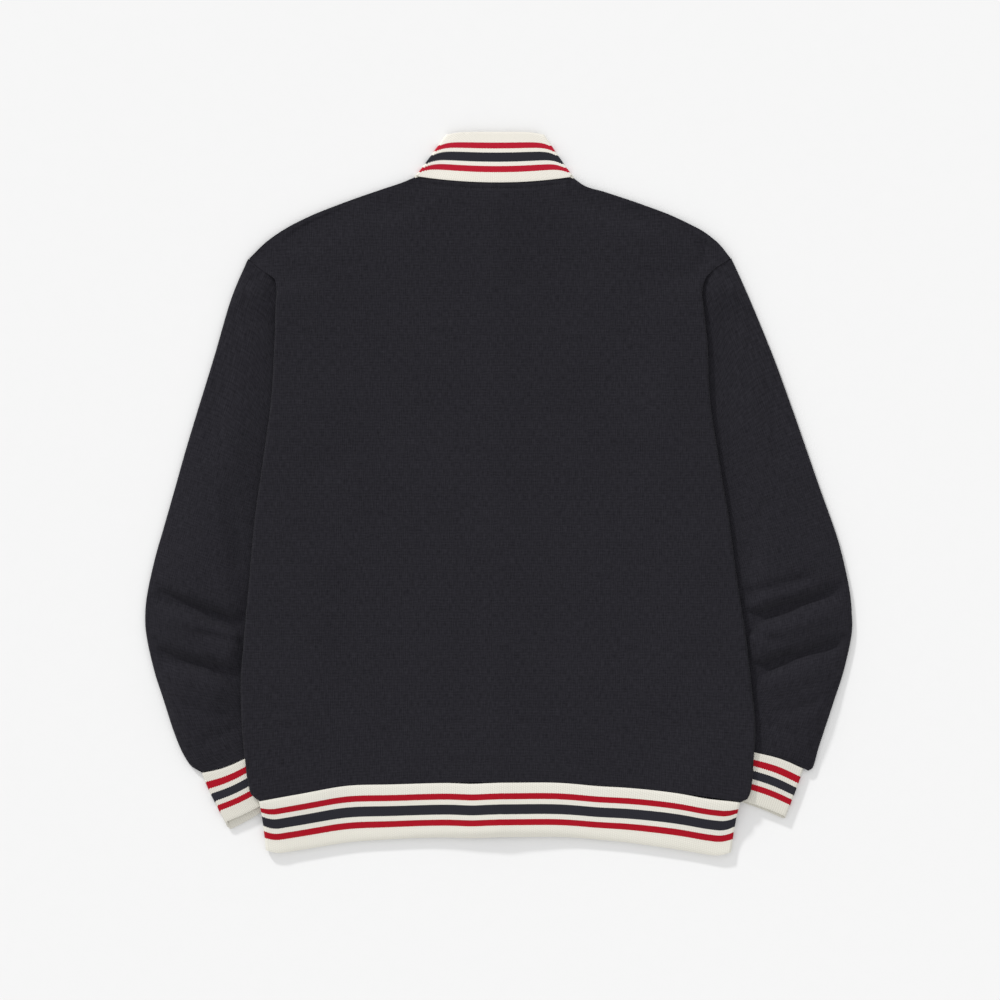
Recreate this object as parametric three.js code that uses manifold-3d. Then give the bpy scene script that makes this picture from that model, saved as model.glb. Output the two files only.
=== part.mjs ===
// Track jacket with ribbed collar, cuffs and hem, laid flat on its front with its back up.
// Millimetres. +Z is up from the surface, +Y runs from hem to collar, and the wearer's left is at -X.
// The origin is on the surface, under the middle of the whole jacket.
//
// Every cloth piece is a wall of one thickness, built on a grid of points in the middle of the cloth.
// The layers lie on each other: the sleeves on the surface, the fronts beside and over them,
// and the back on top, its sides turned under at a fold.

import * as THREE from 'three';
import { mergeVertices } from 'three/addons/utils/BufferGeometryUtils.js';
import Module from 'manifold-3d';

// ---------------------------------------------------------------- driving sizes
const CLOTH = 2;              // thickness of every cloth wall
const PLY = 2.6;              // from the middle of one layer to the middle of the next
const SEAM = 0.4;             // gap between two pieces that are sewn together
const FLOOR_LAYER = CLOTH / 2; // middle height of a layer that lies on the surface
const FOLD_RADIUS = PLY / 2;  // of the cloth's middle at a folded edge

const NECK_CENTRE_Y = 325.5;  // back neck seam at the centre
const NECK_CENTRE_X = -3;     // lowest point of that seam
const NECK_RISE = 0.001;      // how fast it rises to the sides, per mm
const COLLAR_TOP_Y = 379;
const FRONT_NECK_Y = 249;     // front neck seam at the zip
const FRONT_COLLAR_TOP_Y = 302;
const HEM_SEAM_Y = -303.7;    // at the centre
const HEM_SEAM_DROP = 19.3;   // from the centre to the side folds
const HEM_BOTTOM_Y = -359.5;  // at the centre
const HEM_BOTTOM_DROP = 17;
const HEM_HALF = { seam: 252, bottom: 243 };
const HEM_CURVE = 2.5;        // power of the hem's drop to the sides

const CENTRE_LIFT = 5.2;      // room inside the body, as the back's height over the fronts
const FRONT_EDGE_X = 6.3;     // the fronts stop this far from the middle of the zip
const ZIP_LIFT = 2.6;         // the fronts rise this much to the zip
const ZIP_FLAT_X = { from: 18, over: 32 };             // and come down over this width
const TAPE = { width: 15, thick: 1, gap: 0.3 };        // gap: between a tape and the front under it
const ZIP_MIDDLE_Z = FLOOR_LAYER + ZIP_LIFT + CLOTH / 2 + TAPE.gap + TAPE.thick / 2;
const RIDGE = { lift: 2.2, width: 22, start: 338, ramp: 36 }; // the back over the zip
const SLIDER_BUMP = { lift: 1.2, radius: 30, y: 294 }; // the back over the slider

const FOLD_MARGIN = 8;        // the sleeves begin to stand up this far out from the body's fold
const TUCK_CLEAR = 2.5;       // cloth over a sleeve is at full height this far before its edge
const TUCK_RAMP = 26;         // and comes down to the surface over this length
const UNDERARM = { full: 17, flat: 34 };               // the fronts climb onto the sleeves here
const FOLD_START = { flat: 232, full: 206 };           // the back's side fold begins here
const EDGE_ROLL = 38;         // width over which the shoulders round down
const SHOULDER_SLOPE = 0.85;  // turns a distance in Y into one square to the shoulder

// A table's rows, each as an object with the named columns.
function table(columns, rows) {
  const names = columns.split(' ');
  return rows.map((row) => Object.fromEntries(names.map((name, i) => [name, row[i]])));
}

// Sizes of each side. Distances x are from the centre line, whichever side it is.
// arm: the armhole seam, from the shoulder tip to the underarm, then the sleeve's hidden edge.
// fold: the edge of the body as it lies. strip: width of the back turned under it.
const SIDES = {
  left: {
    sign: -1,
    neckX: 87,
    shoulder: table('x y', [[0, 372], [87, 332.6], [98, 324.5], [155, 307.7], [207, 287], [241, 266],
      [262, 245]]),
    arm: table('y x', [[245, 262], [232.5, 247], [225, 235], [200, 224], [140, 206], [75, 191], [13, 182],
      [-48, 196], [-118, 207], [-165, 211], [-214, 215.5], [-265, 227], [-313, 205], [-400, 205]]),
    fold: table('y x', [[225, 235], [216, 233.5], [200, 235], [160, 237], [98, 241], [35, 249.5], [-28, 257.3],
      [-91, 261.5], [-154, 266.2], [-200, 269.5], [-240, 268.5], [-280, 265], [-308, 261], [-317, 258],
      [-323, 250]]),
    strip: table('y width', [[204, 5], [190, 10], [140, 31], [75, 54], [13, 70], [-60, 58], [-140, 40],
      [-220, 20], [-290, 5], [-323, 2.5]]),
    tipRows: table('x y', [[262, 245], [247, 232.5], [235, 225], [233.5, 217], [234.3, 210], [235, 203]]),
  },
  right: {
    sign: 1,
    neckX: 78,
    shoulder: table('x y', [[0, 368], [78, 332], [88, 321.8], [138, 307.7], [192.5, 287], [226, 266],
      [242, 246]]),
    arm: table('y x', [[246, 242], [236.5, 228], [227.5, 218.5], [200, 207], [140, 193], [75, 182], [13, 176.5],
      [-48, 192], [-118, 205], [-165, 210], [-214, 215], [-258, 236], [-310, 218], [-400, 218]]),
    fold: table('y x', [[227.5, 218.5], [218, 214], [200, 213.5], [160, 218], [98, 221], [35, 230.5],
      [-28, 241], [-91, 250.4], [-154, 260.9], [-200, 266.5], [-249, 271.4], [-280, 269.3], [-308, 265],
      [-317, 261], [-324, 252]]),
    strip: table('y width', [[204, 5], [190, 8], [140, 25], [75, 42], [13, 58], [-60, 48], [-140, 34],
      [-220, 18], [-290, 5], [-323, 2.5]]),
    tipRows: table('x y', [[242, 246], [228, 236.5], [218.5, 227.5], [214, 219], [213.3, 211], [213.4, 203]]),
  },
};

// Sections of the sleeves, from the armhole to the cuff seam, each a line from the outer edge to the
// hidden inner edge. bend: how much of the armhole's curve it keeps. loft: how far the upper side
// stands over the lower one. The low lofts in the middle are the two elbow folds.
const SLEEVE_SECTIONS = {
  left: table('outX outY inX inY bend loft', [
    [262, 245, 182, 13, 1, 0.3],
    [281, 203, 182.6, 10, 0.8, 0.7],
    [299, 143, 183.4, 6, 0.5, 2.0],
    [314, 91, 184.6, 0, 0.2, 2.4],
    [327, 48, 187, -9, 0, 2.6],
    [340, 2, 196, -48, 0, 2.6],
    [352, -40, 203, -88, 0, 2.6],
    [360, -68, 207, -118, 0, 3.0],
    [365, -88, 208.5, -137, 0, 2.4],
    [368, -104, 209.5, -156, 0, 0.9],
    [370, -120, 211, -170, 0, 2.6],
    [370, -136, 212.5, -184, 0, 3.0],
    [369, -151, 214, -200, 0, 2.4],
    [366, -165, 215.5, -214, 0, 0.8],
    [361, -187, 217, -222, 0, 2.6],
    [351, -218, 220, -231, 0, 2.8],
    [340, -252, 223, -241, 0, 2.8],
    [329, -277, 226, -252, 0, 2.2],
    [311, -293.3, 227, -265.6, 0, 0.2],
  ]),
  right: table('outX outY inX inY bend loft', [
    [242, 246, 176.5, 13, 1, 0.3],
    [263, 203, 177.2, 10, 0.8, 0.7],
    [288, 143, 178, 6, 0.5, 2.0],
    [307, 91, 179.4, 0, 0.2, 2.4],
    [322, 48, 182.5, -9, 0, 2.6],
    [338, 2, 192, -48, 0, 2.6],
    [352, -40, 200, -84, 0, 2.6],
    [361, -68, 205, -110, 0, 3.0],
    [366, -86, 207, -127, 0, 2.4],
    [368.5, -101, 208, -146, 0, 0.9],
    [370, -118, 209.5, -162, 0, 2.6],
    [370, -133, 211, -178, 0, 3.0],
    [369.5, -146, 213, -195, 0, 2.4],
    [368, -158, 215, -210, 0, 0.8],
    [362, -187, 219, -218, 0, 2.6],
    [352, -218, 224, -226, 0, 2.8],
    [340, -252, 229, -235, 0, 2.8],
    [332, -275, 233, -244, 0, 2.2],
    [319.5, -288.3, 236.5, -259, 0, 0.2],
  ]),
};

// Cuffs, from the seam to the open end. reach: how much further the lower side runs at the outer edge.
const CUFF_SECTIONS = {
  left: table('outX outY inX inY reach', [
    [310.6, -294.2, 226.6, -266.5, 0],
    [302, -312, 219.5, -283, 3],
    [287.5, -342, 206, -312, 9],
  ]),
  right: table('outX outY inX inY reach', [
    [319.2, -289.2, 236.2, -259.9, 0],
    [313, -306, 230.5, -276, 1],
    [300.8, -338, 218, -308.5, 3],
  ]),
};

// Heights at which the fronts and the sleeves share the armhole seam, and the fronts' zip edge beside them.
const ARM_ROWS = table('armY zipY', [[245, null], [232.5, null], [208, null], [170, null], [122, null],
  [72, 190], [34, 140], [15, 105]]);
// Heights at which the fronts and the back share the side seam.
const SIDE_ROWS = [9, -24, -58, -92, -126, -160, -194, -228, -260, -290, -311, -323];
// Shares of a sleeve's width at which its lengthwise lines lie: where it shows, then where the body hides it.
const SLEEVE_LINES = { free: [0, 0.14, 0.34, 0.66], hidden: [0, 0.3, 0.7, 1] };
const NECK_STEPS = 4;         // of the front neck curve
const ARC_STEPS = 4;          // of a turned edge

const COLOURS = { body: 0x29282d, rib: 0xece8de, tape: 0x24242a, metal: 0xb9b9b6 };

// ---------------------------------------------------------------- small helpers
const lerp = (a, b, t) => a + (b - a) * t;
const clamp = (t) => Math.min(1, Math.max(0, t));
const smooth = (t) => clamp(t) ** 2 * (3 - 2 * clamp(t));
const bell = (t) => Math.exp(-t * t);

// Value of column `out` at `at` of column `key`, on a smooth curve through a table's rows.
function along(rows, key, out, at) {
  const down = rows[0][key] > rows[rows.length - 1][key] ? -1 : 1;
  const last = rows.length - 1;
  let i = 0;
  while (i < last - 1 && down * at > down * rows[i + 1][key]) i += 1;
  const slope = (k) => {
    const a = rows[Math.max(0, k - 1)];
    const b = rows[Math.min(last, k + 1)];
    return (b[out] - a[out]) / (b[key] - a[key]);
  };
  const span = rows[i + 1][key] - rows[i][key];
  const t = clamp((at - rows[i][key]) / span);
  const h = t * t * (3 - 2 * t);
  const start = slope(i) * span * t * (1 - t) ** 2;
  const end = slope(i + 1) * span * t * t * (t - 1);
  return lerp(rows[i][out], rows[i + 1][out], h) + start + end;
}

const point = (x, y, z) => new THREE.Vector3(x, y, z);

// A closed wall of cloth on a grid of middle points. Each row has the same number of points, and
// with `tube` the rows close on themselves.
function wall(rows, tube = false) {
  const across = rows[0].length;
  const wrap = (j) => (tube ? (j + across) % across : j);
  const has = (i, j) => i >= 0 && i < rows.length - 1 && (tube || (j >= 0 && j < across - 1));
  const normal = (i, j) => {
    const sum = point(0, 0, 0);
    for (const [a, b] of [[i - 1, j - 1], [i - 1, j], [i, j - 1], [i, j]]) {
      if (!has(a, b)) continue;
      const p = rows[a][wrap(b)];
      const q = rows[a + 1][wrap(b + 1)];
      const r = rows[a][wrap(b + 1)];
      const s = rows[a + 1][wrap(b)];
      sum.add(q.clone().sub(p).cross(s.clone().sub(r)).normalize());
    }
    return sum.normalize();
  };
  const positions = [];
  for (const side of [1, -1]) {
    rows.forEach((row, i) => row.forEach((p, j) => {
      positions.push(...p.clone().addScaledVector(normal(i, j), side * CLOTH / 2).toArray());
    }));
  }
  const top = (i, j) => i * across + wrap(j);
  const under = (i, j) => rows.length * across + top(i, j);
  const faces = [];
  const quad = (a, b, c, d) => faces.push(a, b, c, a, c, d);
  const lastRow = rows.length - 1;
  const lastColumn = tube ? across : across - 1;
  for (let i = 0; i < lastRow; i += 1) {
    for (let j = 0; j < lastColumn; j += 1) {
      quad(top(i, j), top(i, j + 1), top(i + 1, j + 1), top(i + 1, j));
      faces.push(under(i, j), under(i + 1, j + 1), under(i, j + 1));
      faces.push(under(i, j), under(i + 1, j), under(i + 1, j + 1));
    }
  }
  for (let j = 0; j < lastColumn; j += 1) {
    quad(under(0, j), under(0, j + 1), top(0, j + 1), top(0, j));
    quad(top(lastRow, j), top(lastRow, j + 1), under(lastRow, j + 1), under(lastRow, j));
  }
  if (!tube) {
    for (let i = 0; i < lastRow; i += 1) {
      quad(top(i, 0), top(i + 1, 0), under(i + 1, 0), under(i, 0));
      quad(under(i, lastColumn), under(i + 1, lastColumn), top(i + 1, lastColumn), top(i, lastColumn));
    }
  }
  return outward(positions, faces);
}

// A geometry of these triangles, turned so that they face out.
function outward(positions, faces) {
  const corner = (k) => point(...positions.slice(3 * k, 3 * k + 3));
  let volume = 0;
  for (let k = 0; k < faces.length; k += 3) {
    volume += corner(faces[k]).dot(corner(faces[k + 1]).cross(corner(faces[k + 2])));
  }
  if (volume < 0) faces.reverse();
  const geometry = new THREE.BufferGeometry();
  geometry.setAttribute('position', new THREE.Float32BufferAttribute(positions, 3));
  geometry.setIndex(faces);
  geometry.computeVertexNormals();
  return geometry;
}

// ---------------------------------------------------------------- the lie of the layers
const shoulderY = (side, x) => along(side.shoulder, 'x', 'y', x);
const armX = (side, y) => along(side.arm, 'y', 'x', y);
const foldX = (side, y) => along(side.fold, 'y', 'x', y);
const stripWidth = (side, y) => along(side.strip, 'y', 'width', y);
const neckY = (x) => NECK_CENTRE_Y + NECK_RISE * (x - NECK_CENTRE_X) ** 2;
const hemSeamY = (x) => HEM_SEAM_Y - HEM_SEAM_DROP * clamp(Math.abs(x) / HEM_HALF.seam) ** HEM_CURVE;
const hemBottomY = (x) => HEM_BOTTOM_Y - HEM_BOTTOM_DROP * clamp(Math.abs(x) / HEM_HALF.bottom) ** HEM_CURVE;

// 1 over the hidden part of a sleeve, and 0 where the cloth lies clear of it.
const tuck = (side, x, y) => 1 - smooth((armX(side, y) - x - TUCK_CLEAR) / TUCK_RAMP);
const zipRise = (x) => ZIP_LIFT * (1 - smooth((x - ZIP_FLAT_X.from) / ZIP_FLAT_X.over));
const ridge = (x) => RIDGE.lift * bell(x / RIDGE.width);

function frontZ(side, x, y) {
  const climb = 1 - smooth((y - UNDERARM.full) / (UNDERARM.flat - UNDERARM.full));
  return FLOOR_LAYER + 2 * PLY * tuck(side, x, y) * climb + zipRise(x);
}

function backZ(side, x, y) {
  const roundedEdge = smooth((shoulderY(side, x) - y) * SHOULDER_SLOPE / EDGE_ROLL);
  const middle = lerp(PLY, CENTRE_LIFT, roundedEdge);
  const started = smooth((FOLD_START.flat - y) / (FOLD_START.flat - FOLD_START.full));
  const overSleeve = PLY * tuck(side, x, y) * started;
  const overZip = ridge(x) * smooth((RIDGE.start - y) / RIDGE.ramp);
  const overSlider = SLIDER_BUMP.lift * bell(Math.hypot(x, y - SLIDER_BUMP.y) / SLIDER_BUMP.radius);
  return FLOOR_LAYER + middle + overSleeve + overZip + overSlider;
}

// ---------------------------------------------------------------- back
// Distances from the centre at which the back and the fronts have their lengthwise lines.
const TUCK_LINES = [TUCK_CLEAR + TUCK_RAMP, TUCK_CLEAR + TUCK_RAMP / 2, TUCK_CLEAR];
const RIDGE_LINES = [9, 22, 46];
const FOLD_TOP_Y = 203;       // the side folds are whole from here down

function backColumns(side, y, edge) {
  const inner = armX(side, y);
  const flatEnd = edge - FOLD_RADIUS;
  const tucks = TUCK_LINES.map((clear) => inner - clear);
  return [...RIDGE_LINES, (RIDGE_LINES[2] + tucks[0]) / 2, ...tucks, flatEnd];
}

// The half row of the back on one side, from beside the centre line out to its turned edge.
// turn: how far the edge has turned under, in degrees. width: of what lies beyond the turn.
// bow: power of the row's curve from midY at the centre to edgeY at the side.
function backHalfRow(side, edge, edgeY, midY, turn, width, bow = 2) {
  const foldedY = Math.min(edgeY, FOLD_TOP_Y);
  const reference = backColumns(side, foldedY, foldX(side, foldedY));
  const laidOut = Math.PI * FOLD_RADIUS * (1 - turn / 180);
  const angle = THREE.MathUtils.degToRad(turn);
  const past = turn < 90 ? FOLD_RADIUS * Math.sin(angle) + width * Math.cos(angle) : FOLD_RADIUS;
  const flatEnd = edge - past - laidOut;
  const scale = flatEnd / reference[reference.length - 1];
  const rowY = (x) => edgeY + (midY - edgeY) * (1 - clamp(x / edge) ** bow);
  const row = reference.map((x) => {
    const at = x * scale;
    return point(at, rowY(at), backZ(side, at, rowY(at)));
  });
  const high = backZ(side, edge, edgeY);
  for (let k = 1; k <= ARC_STEPS; k += 1) {
    const a = angle * k / ARC_STEPS;
    const x = flatEnd + laidOut * k / ARC_STEPS + FOLD_RADIUS * Math.sin(a);
    row.push(point(x, edgeY, high - FOLD_RADIUS * (1 - Math.cos(a))));
  }
  const end = row[row.length - 1];
  row.push(point(end.x + width * Math.cos(angle), edgeY, end.z - width * Math.sin(angle)));
  row.forEach((p) => { p.x *= side.sign; });
  return row;
}

// Rows of the back from the neck to the shoulder tips. midY is the row's height at the centre.
const SHOULDER_ROWS = table('leftX leftY rightX rightY midY', [
  [125, 316.5, 112, 315.2, 310],
  [165, 304.5, 150, 303.9, 297],
  [207, 287, 192.5, 287, 282],
  [241, 266, 226, 266, 264],
]);
const TIP_TURNS = table('turn width midY', [
  [0, 1, 248], [0, 1, 239], [0, 1, 230], [60, 1, 221], [120, 1, 212], [180, 5, 203],
]);

const OVER_SLEEVE_ROWS = [180, 148, 116, 84, 50];
const HEM_BEND = { from: -200, over: 120 }; // the rows take up the hem's curve here

function backRows() {
  const { left, right } = SIDES;
  const rows = [];
  const add = (leftRow, rightRow, midY) => {
    rows.push([...leftRow.reverse(), point(0, midY, backZ(right, 0, midY)), ...rightRow]);
  };
  const neck = [left, right].map((side) => {
    const half = backHalfRow(side, side.neckX, neckY(side.sign * side.neckX), NECK_CENTRE_Y, 0, 1);
    half.forEach((p) => { p.y = neckY(p.x) - SEAM / 2; });
    return half;
  });
  add(...neck, NECK_CENTRE_Y - SEAM / 2);
  for (const row of SHOULDER_ROWS) {
    add(
      backHalfRow(left, row.leftX, row.leftY, row.midY, 0, 1),
      backHalfRow(right, row.rightX, row.rightY, row.midY, 0, 1),
      row.midY,
    );
  }
  TIP_TURNS.forEach(({ turn, width, midY }, k) => {
    const gap = turn === 0 ? SEAM : 0;
    const halves = [left, right].map((side) => {
      const { x, y } = side.tipRows[k];
      return backHalfRow(side, x - gap, y, midY, turn, width);
    });
    add(...halves, midY);
  });
  for (const y of [...OVER_SLEEVE_ROWS, ...SIDE_ROWS]) {
    const nearHem = smooth((HEM_BEND.from - y) / HEM_BEND.over);
    const midY = y + (hemSeamY(0) - hemSeamY(HEM_HALF.seam)) * nearHem;
    const halves = [left, right].map((side) => backHalfRow(
      side, foldX(side, y), y, midY, 180, stripWidth(side, y) - FOLD_RADIUS - SEAM / 2, HEM_CURVE,
    ));
    add(...halves, midY);
  }
  return rows;
}

// ---------------------------------------------------------------- fronts
const FRONT_NECK_FLARE = 4;   // the neck curve leaves the shoulder this much inwards
const ZIP_LINES = [44, 28, 12]; // lengthwise lines beside the zip, from its edge
const SIDE_ROWS_ZIP_Y = 80;   // the row at the underarm meets the zip here

// The front neck seam from the shoulder to the zip, with the piece's own side of the seam gap.
function neckCurve(side, t, gap) {
  const corner = [side.neckX, neckY(side.sign * side.neckX)];
  const pull = [side.neckX - FRONT_NECK_FLARE, FRONT_NECK_Y];
  const zip = [FRONT_EDGE_X, FRONT_NECK_Y];
  const bezier = (i) => corner[i] * (1 - t) ** 2 + 2 * pull[i] * t * (1 - t) + zip[i] * t * t;
  const away = new THREE.Vector2(1 - t, -t).normalize().multiplyScalar(gap);
  return { x: bezier(0) + away.x, y: bezier(1) + away.y };
}

function frontRow(side, inner, outer) {
  const lineY = (x) => lerp(inner.y, outer.y, (x - inner.x) / (outer.x - inner.x));
  const beside = (clear) => {
    const first = armX(side, outer.y) - clear;
    return armX(side, lineY(first)) - clear;
  };
  const tucks = [0, 1 / 3, 2 / 3, 1].map((share) => TUCK_CLEAR + TUCK_RAMP * share);
  const zips = ZIP_LINES.map((x) => inner.x + x);
  const hidden = tucks.map(beside);
  const middle = [1 / 3, 2 / 3].map((t) => lerp(hidden[3], zips[0], t));
  const xs = [outer.x, ...hidden, ...middle, ...zips, inner.x];
  return xs.map((x) => point(side.sign * x, lineY(x), frontZ(side, x, lineY(x))));
}

// How far the shoulder stands off the straight line from the neck to its tip, at a share of the way.
function shoulderBulge(side, share) {
  const tip = side.tipRows[0];
  const x = lerp(side.neckX, tip.x, share);
  const straight = lerp(shoulderY(side, side.neckX), tip.y, share);
  return share > 0 && share < 1 ? shoulderY(side, x) - straight : 0;
}

function frontRows(side) {
  const rows = ARM_ROWS.map(({ armY, zipY }, k) => {
    const onZip = { x: FRONT_EDGE_X, y: zipY };
    const inner = zipY === null ? neckCurve(side, k / NECK_STEPS, SEAM / 2) : onZip;
    const outer = { x: armX(side, armY) - SEAM, y: armY };
    const row = frontRow(side, inner, outer);
    const follow = Math.max(0, 1 - k / NECK_STEPS) ** 2;
    row.forEach((p) => {
      const share = (Math.abs(p.x) - inner.x) / (outer.x - inner.x);
      p.y += follow * shoulderBulge(side, share);
    });
    return row;
  });
  SIDE_ROWS.forEach((y, k) => {
    const t = k / (SIDE_ROWS.length - 1);
    const inner = { x: FRONT_EDGE_X, y: lerp(SIDE_ROWS_ZIP_Y, HEM_SEAM_Y, t) };
    const sideX = foldX(side, y) - stripWidth(side, y);
    rows.push(frontRow(side, inner, { x: sideX - SEAM / 2, y }));
  });
  rows[rows.length - 1].forEach((p) => { p.y = hemSeamY(p.x); });
  return rows;
}

// ---------------------------------------------------------------- sleeves and cuffs
const RING_TURN = [60, 120];  // where the turned edge of a tube has its points, in degrees

// One ring of a flattened tube. lower: its points on the surface, from the outer to the inner edge.
// liftAt gives the height of the upper side over the lower one at each point.
function flatRing(lower, shift, liftAt) {
  const last = lower.length - 1;
  const turn = (centre, way, lift) => RING_TURN.map((degrees) => {
    const a = THREE.MathUtils.degToRad(degrees);
    const out = lift / 2 * Math.sin(a);
    return point(centre.x + way.x * out, centre.y + way.y * out, FLOOR_LAYER + lift / 2 * (1 - Math.cos(a)));
  });
  const away = (from, to) => new THREE.Vector2(to.x - from.x, to.y - from.y).normalize();
  const outerWay = away(lower[1], lower[0]);
  const innerWay = away(lower[last - 1], lower[last]);
  const floor = lower.map((p) => point(p.x, p.y, FLOOR_LAYER));
  const upper = lower.map((p, i) => point(p.x + shift[i].x, p.y + shift[i].y, FLOOR_LAYER + liftAt(i)));
  return [
    ...floor,
    ...turn(lower[last], innerWay, liftAt(last)),
    ...upper.reverse(),
    ...turn(lower[0], outerWay, liftAt(0)).reverse(),
  ];
}

const MOST_COVERED = 0.9;     // share of a sleeve's width that is free to view at most
const LOFT_RAMP = 16;         // the upper side rises to its loft over this width

function sleeveRows(side, sections) {
  const armhole = ARM_ROWS.map(({ armY }) => ({ x: armX(side, armY), y: armY }));
  const last = armhole.length - 1;
  armhole[0] = { x: sections[0].outX - FOLD_RADIUS, y: sections[0].outY - FOLD_RADIUS };
  armhole[last] = { x: sections[0].inX, y: sections[0].inY + FOLD_RADIUS };
  const lengths = [0];
  for (let i = 1; i <= last; i += 1) {
    const step = Math.hypot(armhole[i].x - armhole[i - 1].x, armhole[i].y - armhole[i - 1].y);
    lengths.push(lengths[i - 1] + step);
  }
  // how far the armhole stands off the straight line between its ends, at each share of its length
  const offsets = armhole.map((p, i) => {
    const share = lengths[i] / lengths[last];
    const x = p.x - lerp(armhole[0].x, armhole[last].x, share);
    const y = p.y - lerp(armhole[0].y, armhole[last].y, share);
    return { share, x, y };
  });
  const offset = (share, axis) => {
    let i = 1;
    while (i < last && share > offsets[i].share) i += 1;
    const t = (share - offsets[i - 1].share) / (offsets[i].share - offsets[i - 1].share);
    return lerp(offsets[i - 1][axis], offsets[i][axis], t);
  };
  const none = armhole.map(() => ({ x: 0, y: 0 }));
  return sections.map((section, k) => {
    const width = Math.hypot(section.outX - section.inX, section.outY - section.inY);
    const inset = k === 0 ? 0 : FOLD_RADIUS / width;
    const start = k === 0 ? armhole[0] : { x: section.outX, y: section.outY };
    const end = k === 0 ? armhole[last] : { x: section.inX, y: section.inY };
    const at = (share) => {
      const t = lerp(inset, 1 - inset, share);
      return {
        x: lerp(start.x, end.x, t) + section.bend * offset(share, 'x'),
        y: lerp(start.y, end.y, t) + section.bend * offset(share, 'y'),
      };
    };
    const beyondFold = (p) => p.x - foldX(side, Math.min(p.y, FOLD_TOP_Y)) - FOLD_MARGIN;
    let covered = 0;
    while (covered < MOST_COVERED && beyondFold(at(covered)) > 0) covered += 0.01;
    const free = SLEEVE_LINES.free.map((t) => t * covered);
    const hidden = SLEEVE_LINES.hidden.map((t) => lerp(covered, 1, t));
    const shares = k === 0 ? offsets.map((o) => o.share) : [...free, ...hidden];
    const lower = shares.map(at);
    const liftAt = (i) => {
      const fromEdge = Math.hypot(lower[i].x - lower[0].x, lower[i].y - lower[0].y);
      return PLY + section.loft * smooth(beyondFold(lower[i]) / LOFT_RAMP) * smooth(fromEdge / LOFT_RAMP);
    };
    const ring = flatRing(lower, none, liftAt);
    ring.forEach((p) => { p.x *= side.sign; });
    return ring;
  });
}

const REACH_FADE = 0.65;      // share of its reach that a cuff's lower side loses by the inner edge

function cuffRows(side, sections) {
  const fractions = [0, 1 / 3, 2 / 3, 1];
  return sections.map((section) => {
    const width = Math.hypot(section.outX - section.inX, section.outY - section.inY);
    const inset = FOLD_RADIUS / width;
    const axis = new THREE.Vector2(section.inY - section.outY, section.outX - section.inX).normalize();
    const reach = (f) => section.reach * (1 - REACH_FADE * f);
    const lower = fractions.map((f) => {
      const t = lerp(inset, 1 - inset, f);
      return {
        x: lerp(section.outX, section.inX, t) - axis.x * reach(f),
        y: lerp(section.outY, section.inY, t) - axis.y * reach(f),
      };
    });
    const shift = fractions.map((f) => ({ x: axis.x * reach(f), y: axis.y * reach(f) }));
    const ring = flatRing(lower, shift, () => PLY);
    ring.forEach((p) => { p.x *= side.sign; });
    return ring;
  });
}

// ---------------------------------------------------------------- hem and collar
const HEM_GAP = { middle: 0.6, fold: 1.6, from: 235, over: 12 };
const HEM_END_X = 24.8;       // this near the zip the hem's ends run straight down
const HEM_RIDGE = { lift: 4.8, width: 24 };            // the upper side over the zip
const HEM_CORNER = { lift: 1.2, from: 200, over: 45 }; // and away from the side folds
const HEM_STEPS = table('down lowerLift', [[0, 1], [0.3, 0.85], [0.62, 0.3], [1, 0]]);

function hemRows(back, frontLeft, frontRight) {
  const leftEdge = frontLeft[frontLeft.length - 1];
  const rightEdge = frontRight[frontRight.length - 1];
  const backEdge = back[back.length - 1].slice(1, -1);
  const upperFrom = leftEdge.length;
  const seam = [...leftEdge.slice().reverse(), ...backEdge, ...rightEdge];
  const narrow = HEM_HALF.bottom / HEM_HALF.seam;
  return HEM_STEPS.map(({ down, lowerLift }) => seam.map((p, j) => {
    const upper = j >= upperFrom && j < upperFrom + backEdge.length;
    const side = Math.sign(p.x) < 0 ? SIDES.left : SIDES.right;
    const fromMiddle = Math.abs(p.x);
    const x = fromMiddle <= HEM_END_X ? p.x : p.x * lerp(1, narrow, down);
    const gap = lerp(HEM_GAP.middle, HEM_GAP.fold, smooth((fromMiddle - HEM_GAP.from) / HEM_GAP.over));
    const y = lerp(p.y - gap, hemBottomY(x), down);
    const rise = zipRise(Math.abs(x));
    const lower = FLOOR_LAYER + rise + (p.z - FLOOR_LAYER - rise) * lowerLift;
    if (!upper) return point(x, y, lower);
    const overSleeve = 2 * PLY * tuck(side, fromMiddle, HEM_SEAM_Y - HEM_SEAM_DROP);
    const overZip = HEM_RIDGE.lift * bell(x / HEM_RIDGE.width);
    const offFold = HEM_CORNER.lift * (1 - smooth((Math.abs(x) - HEM_CORNER.from) / HEM_CORNER.over));
    const dropped = FLOOR_LAYER + PLY + overZip + offFold;
    const sunk = p.z + overSleeve * (lowerLift - 1);
    return point(x, y, lerp(sunk, dropped, smooth(down)));
  }));
}

const COLLAR_STEPS = [0, 0.35, 0.7, 1];
const COLLAR_FOLD_TOP = { left: { x: 54, y: 376 }, right: { x: 46.7, y: 376 } };
const COLLAR_FRONT_FLARE = 17; // the front's top curve leaves the fold this much inwards
const COLLAR_LIFT = 1.6;      // of the back's top edge over the folds

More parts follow.
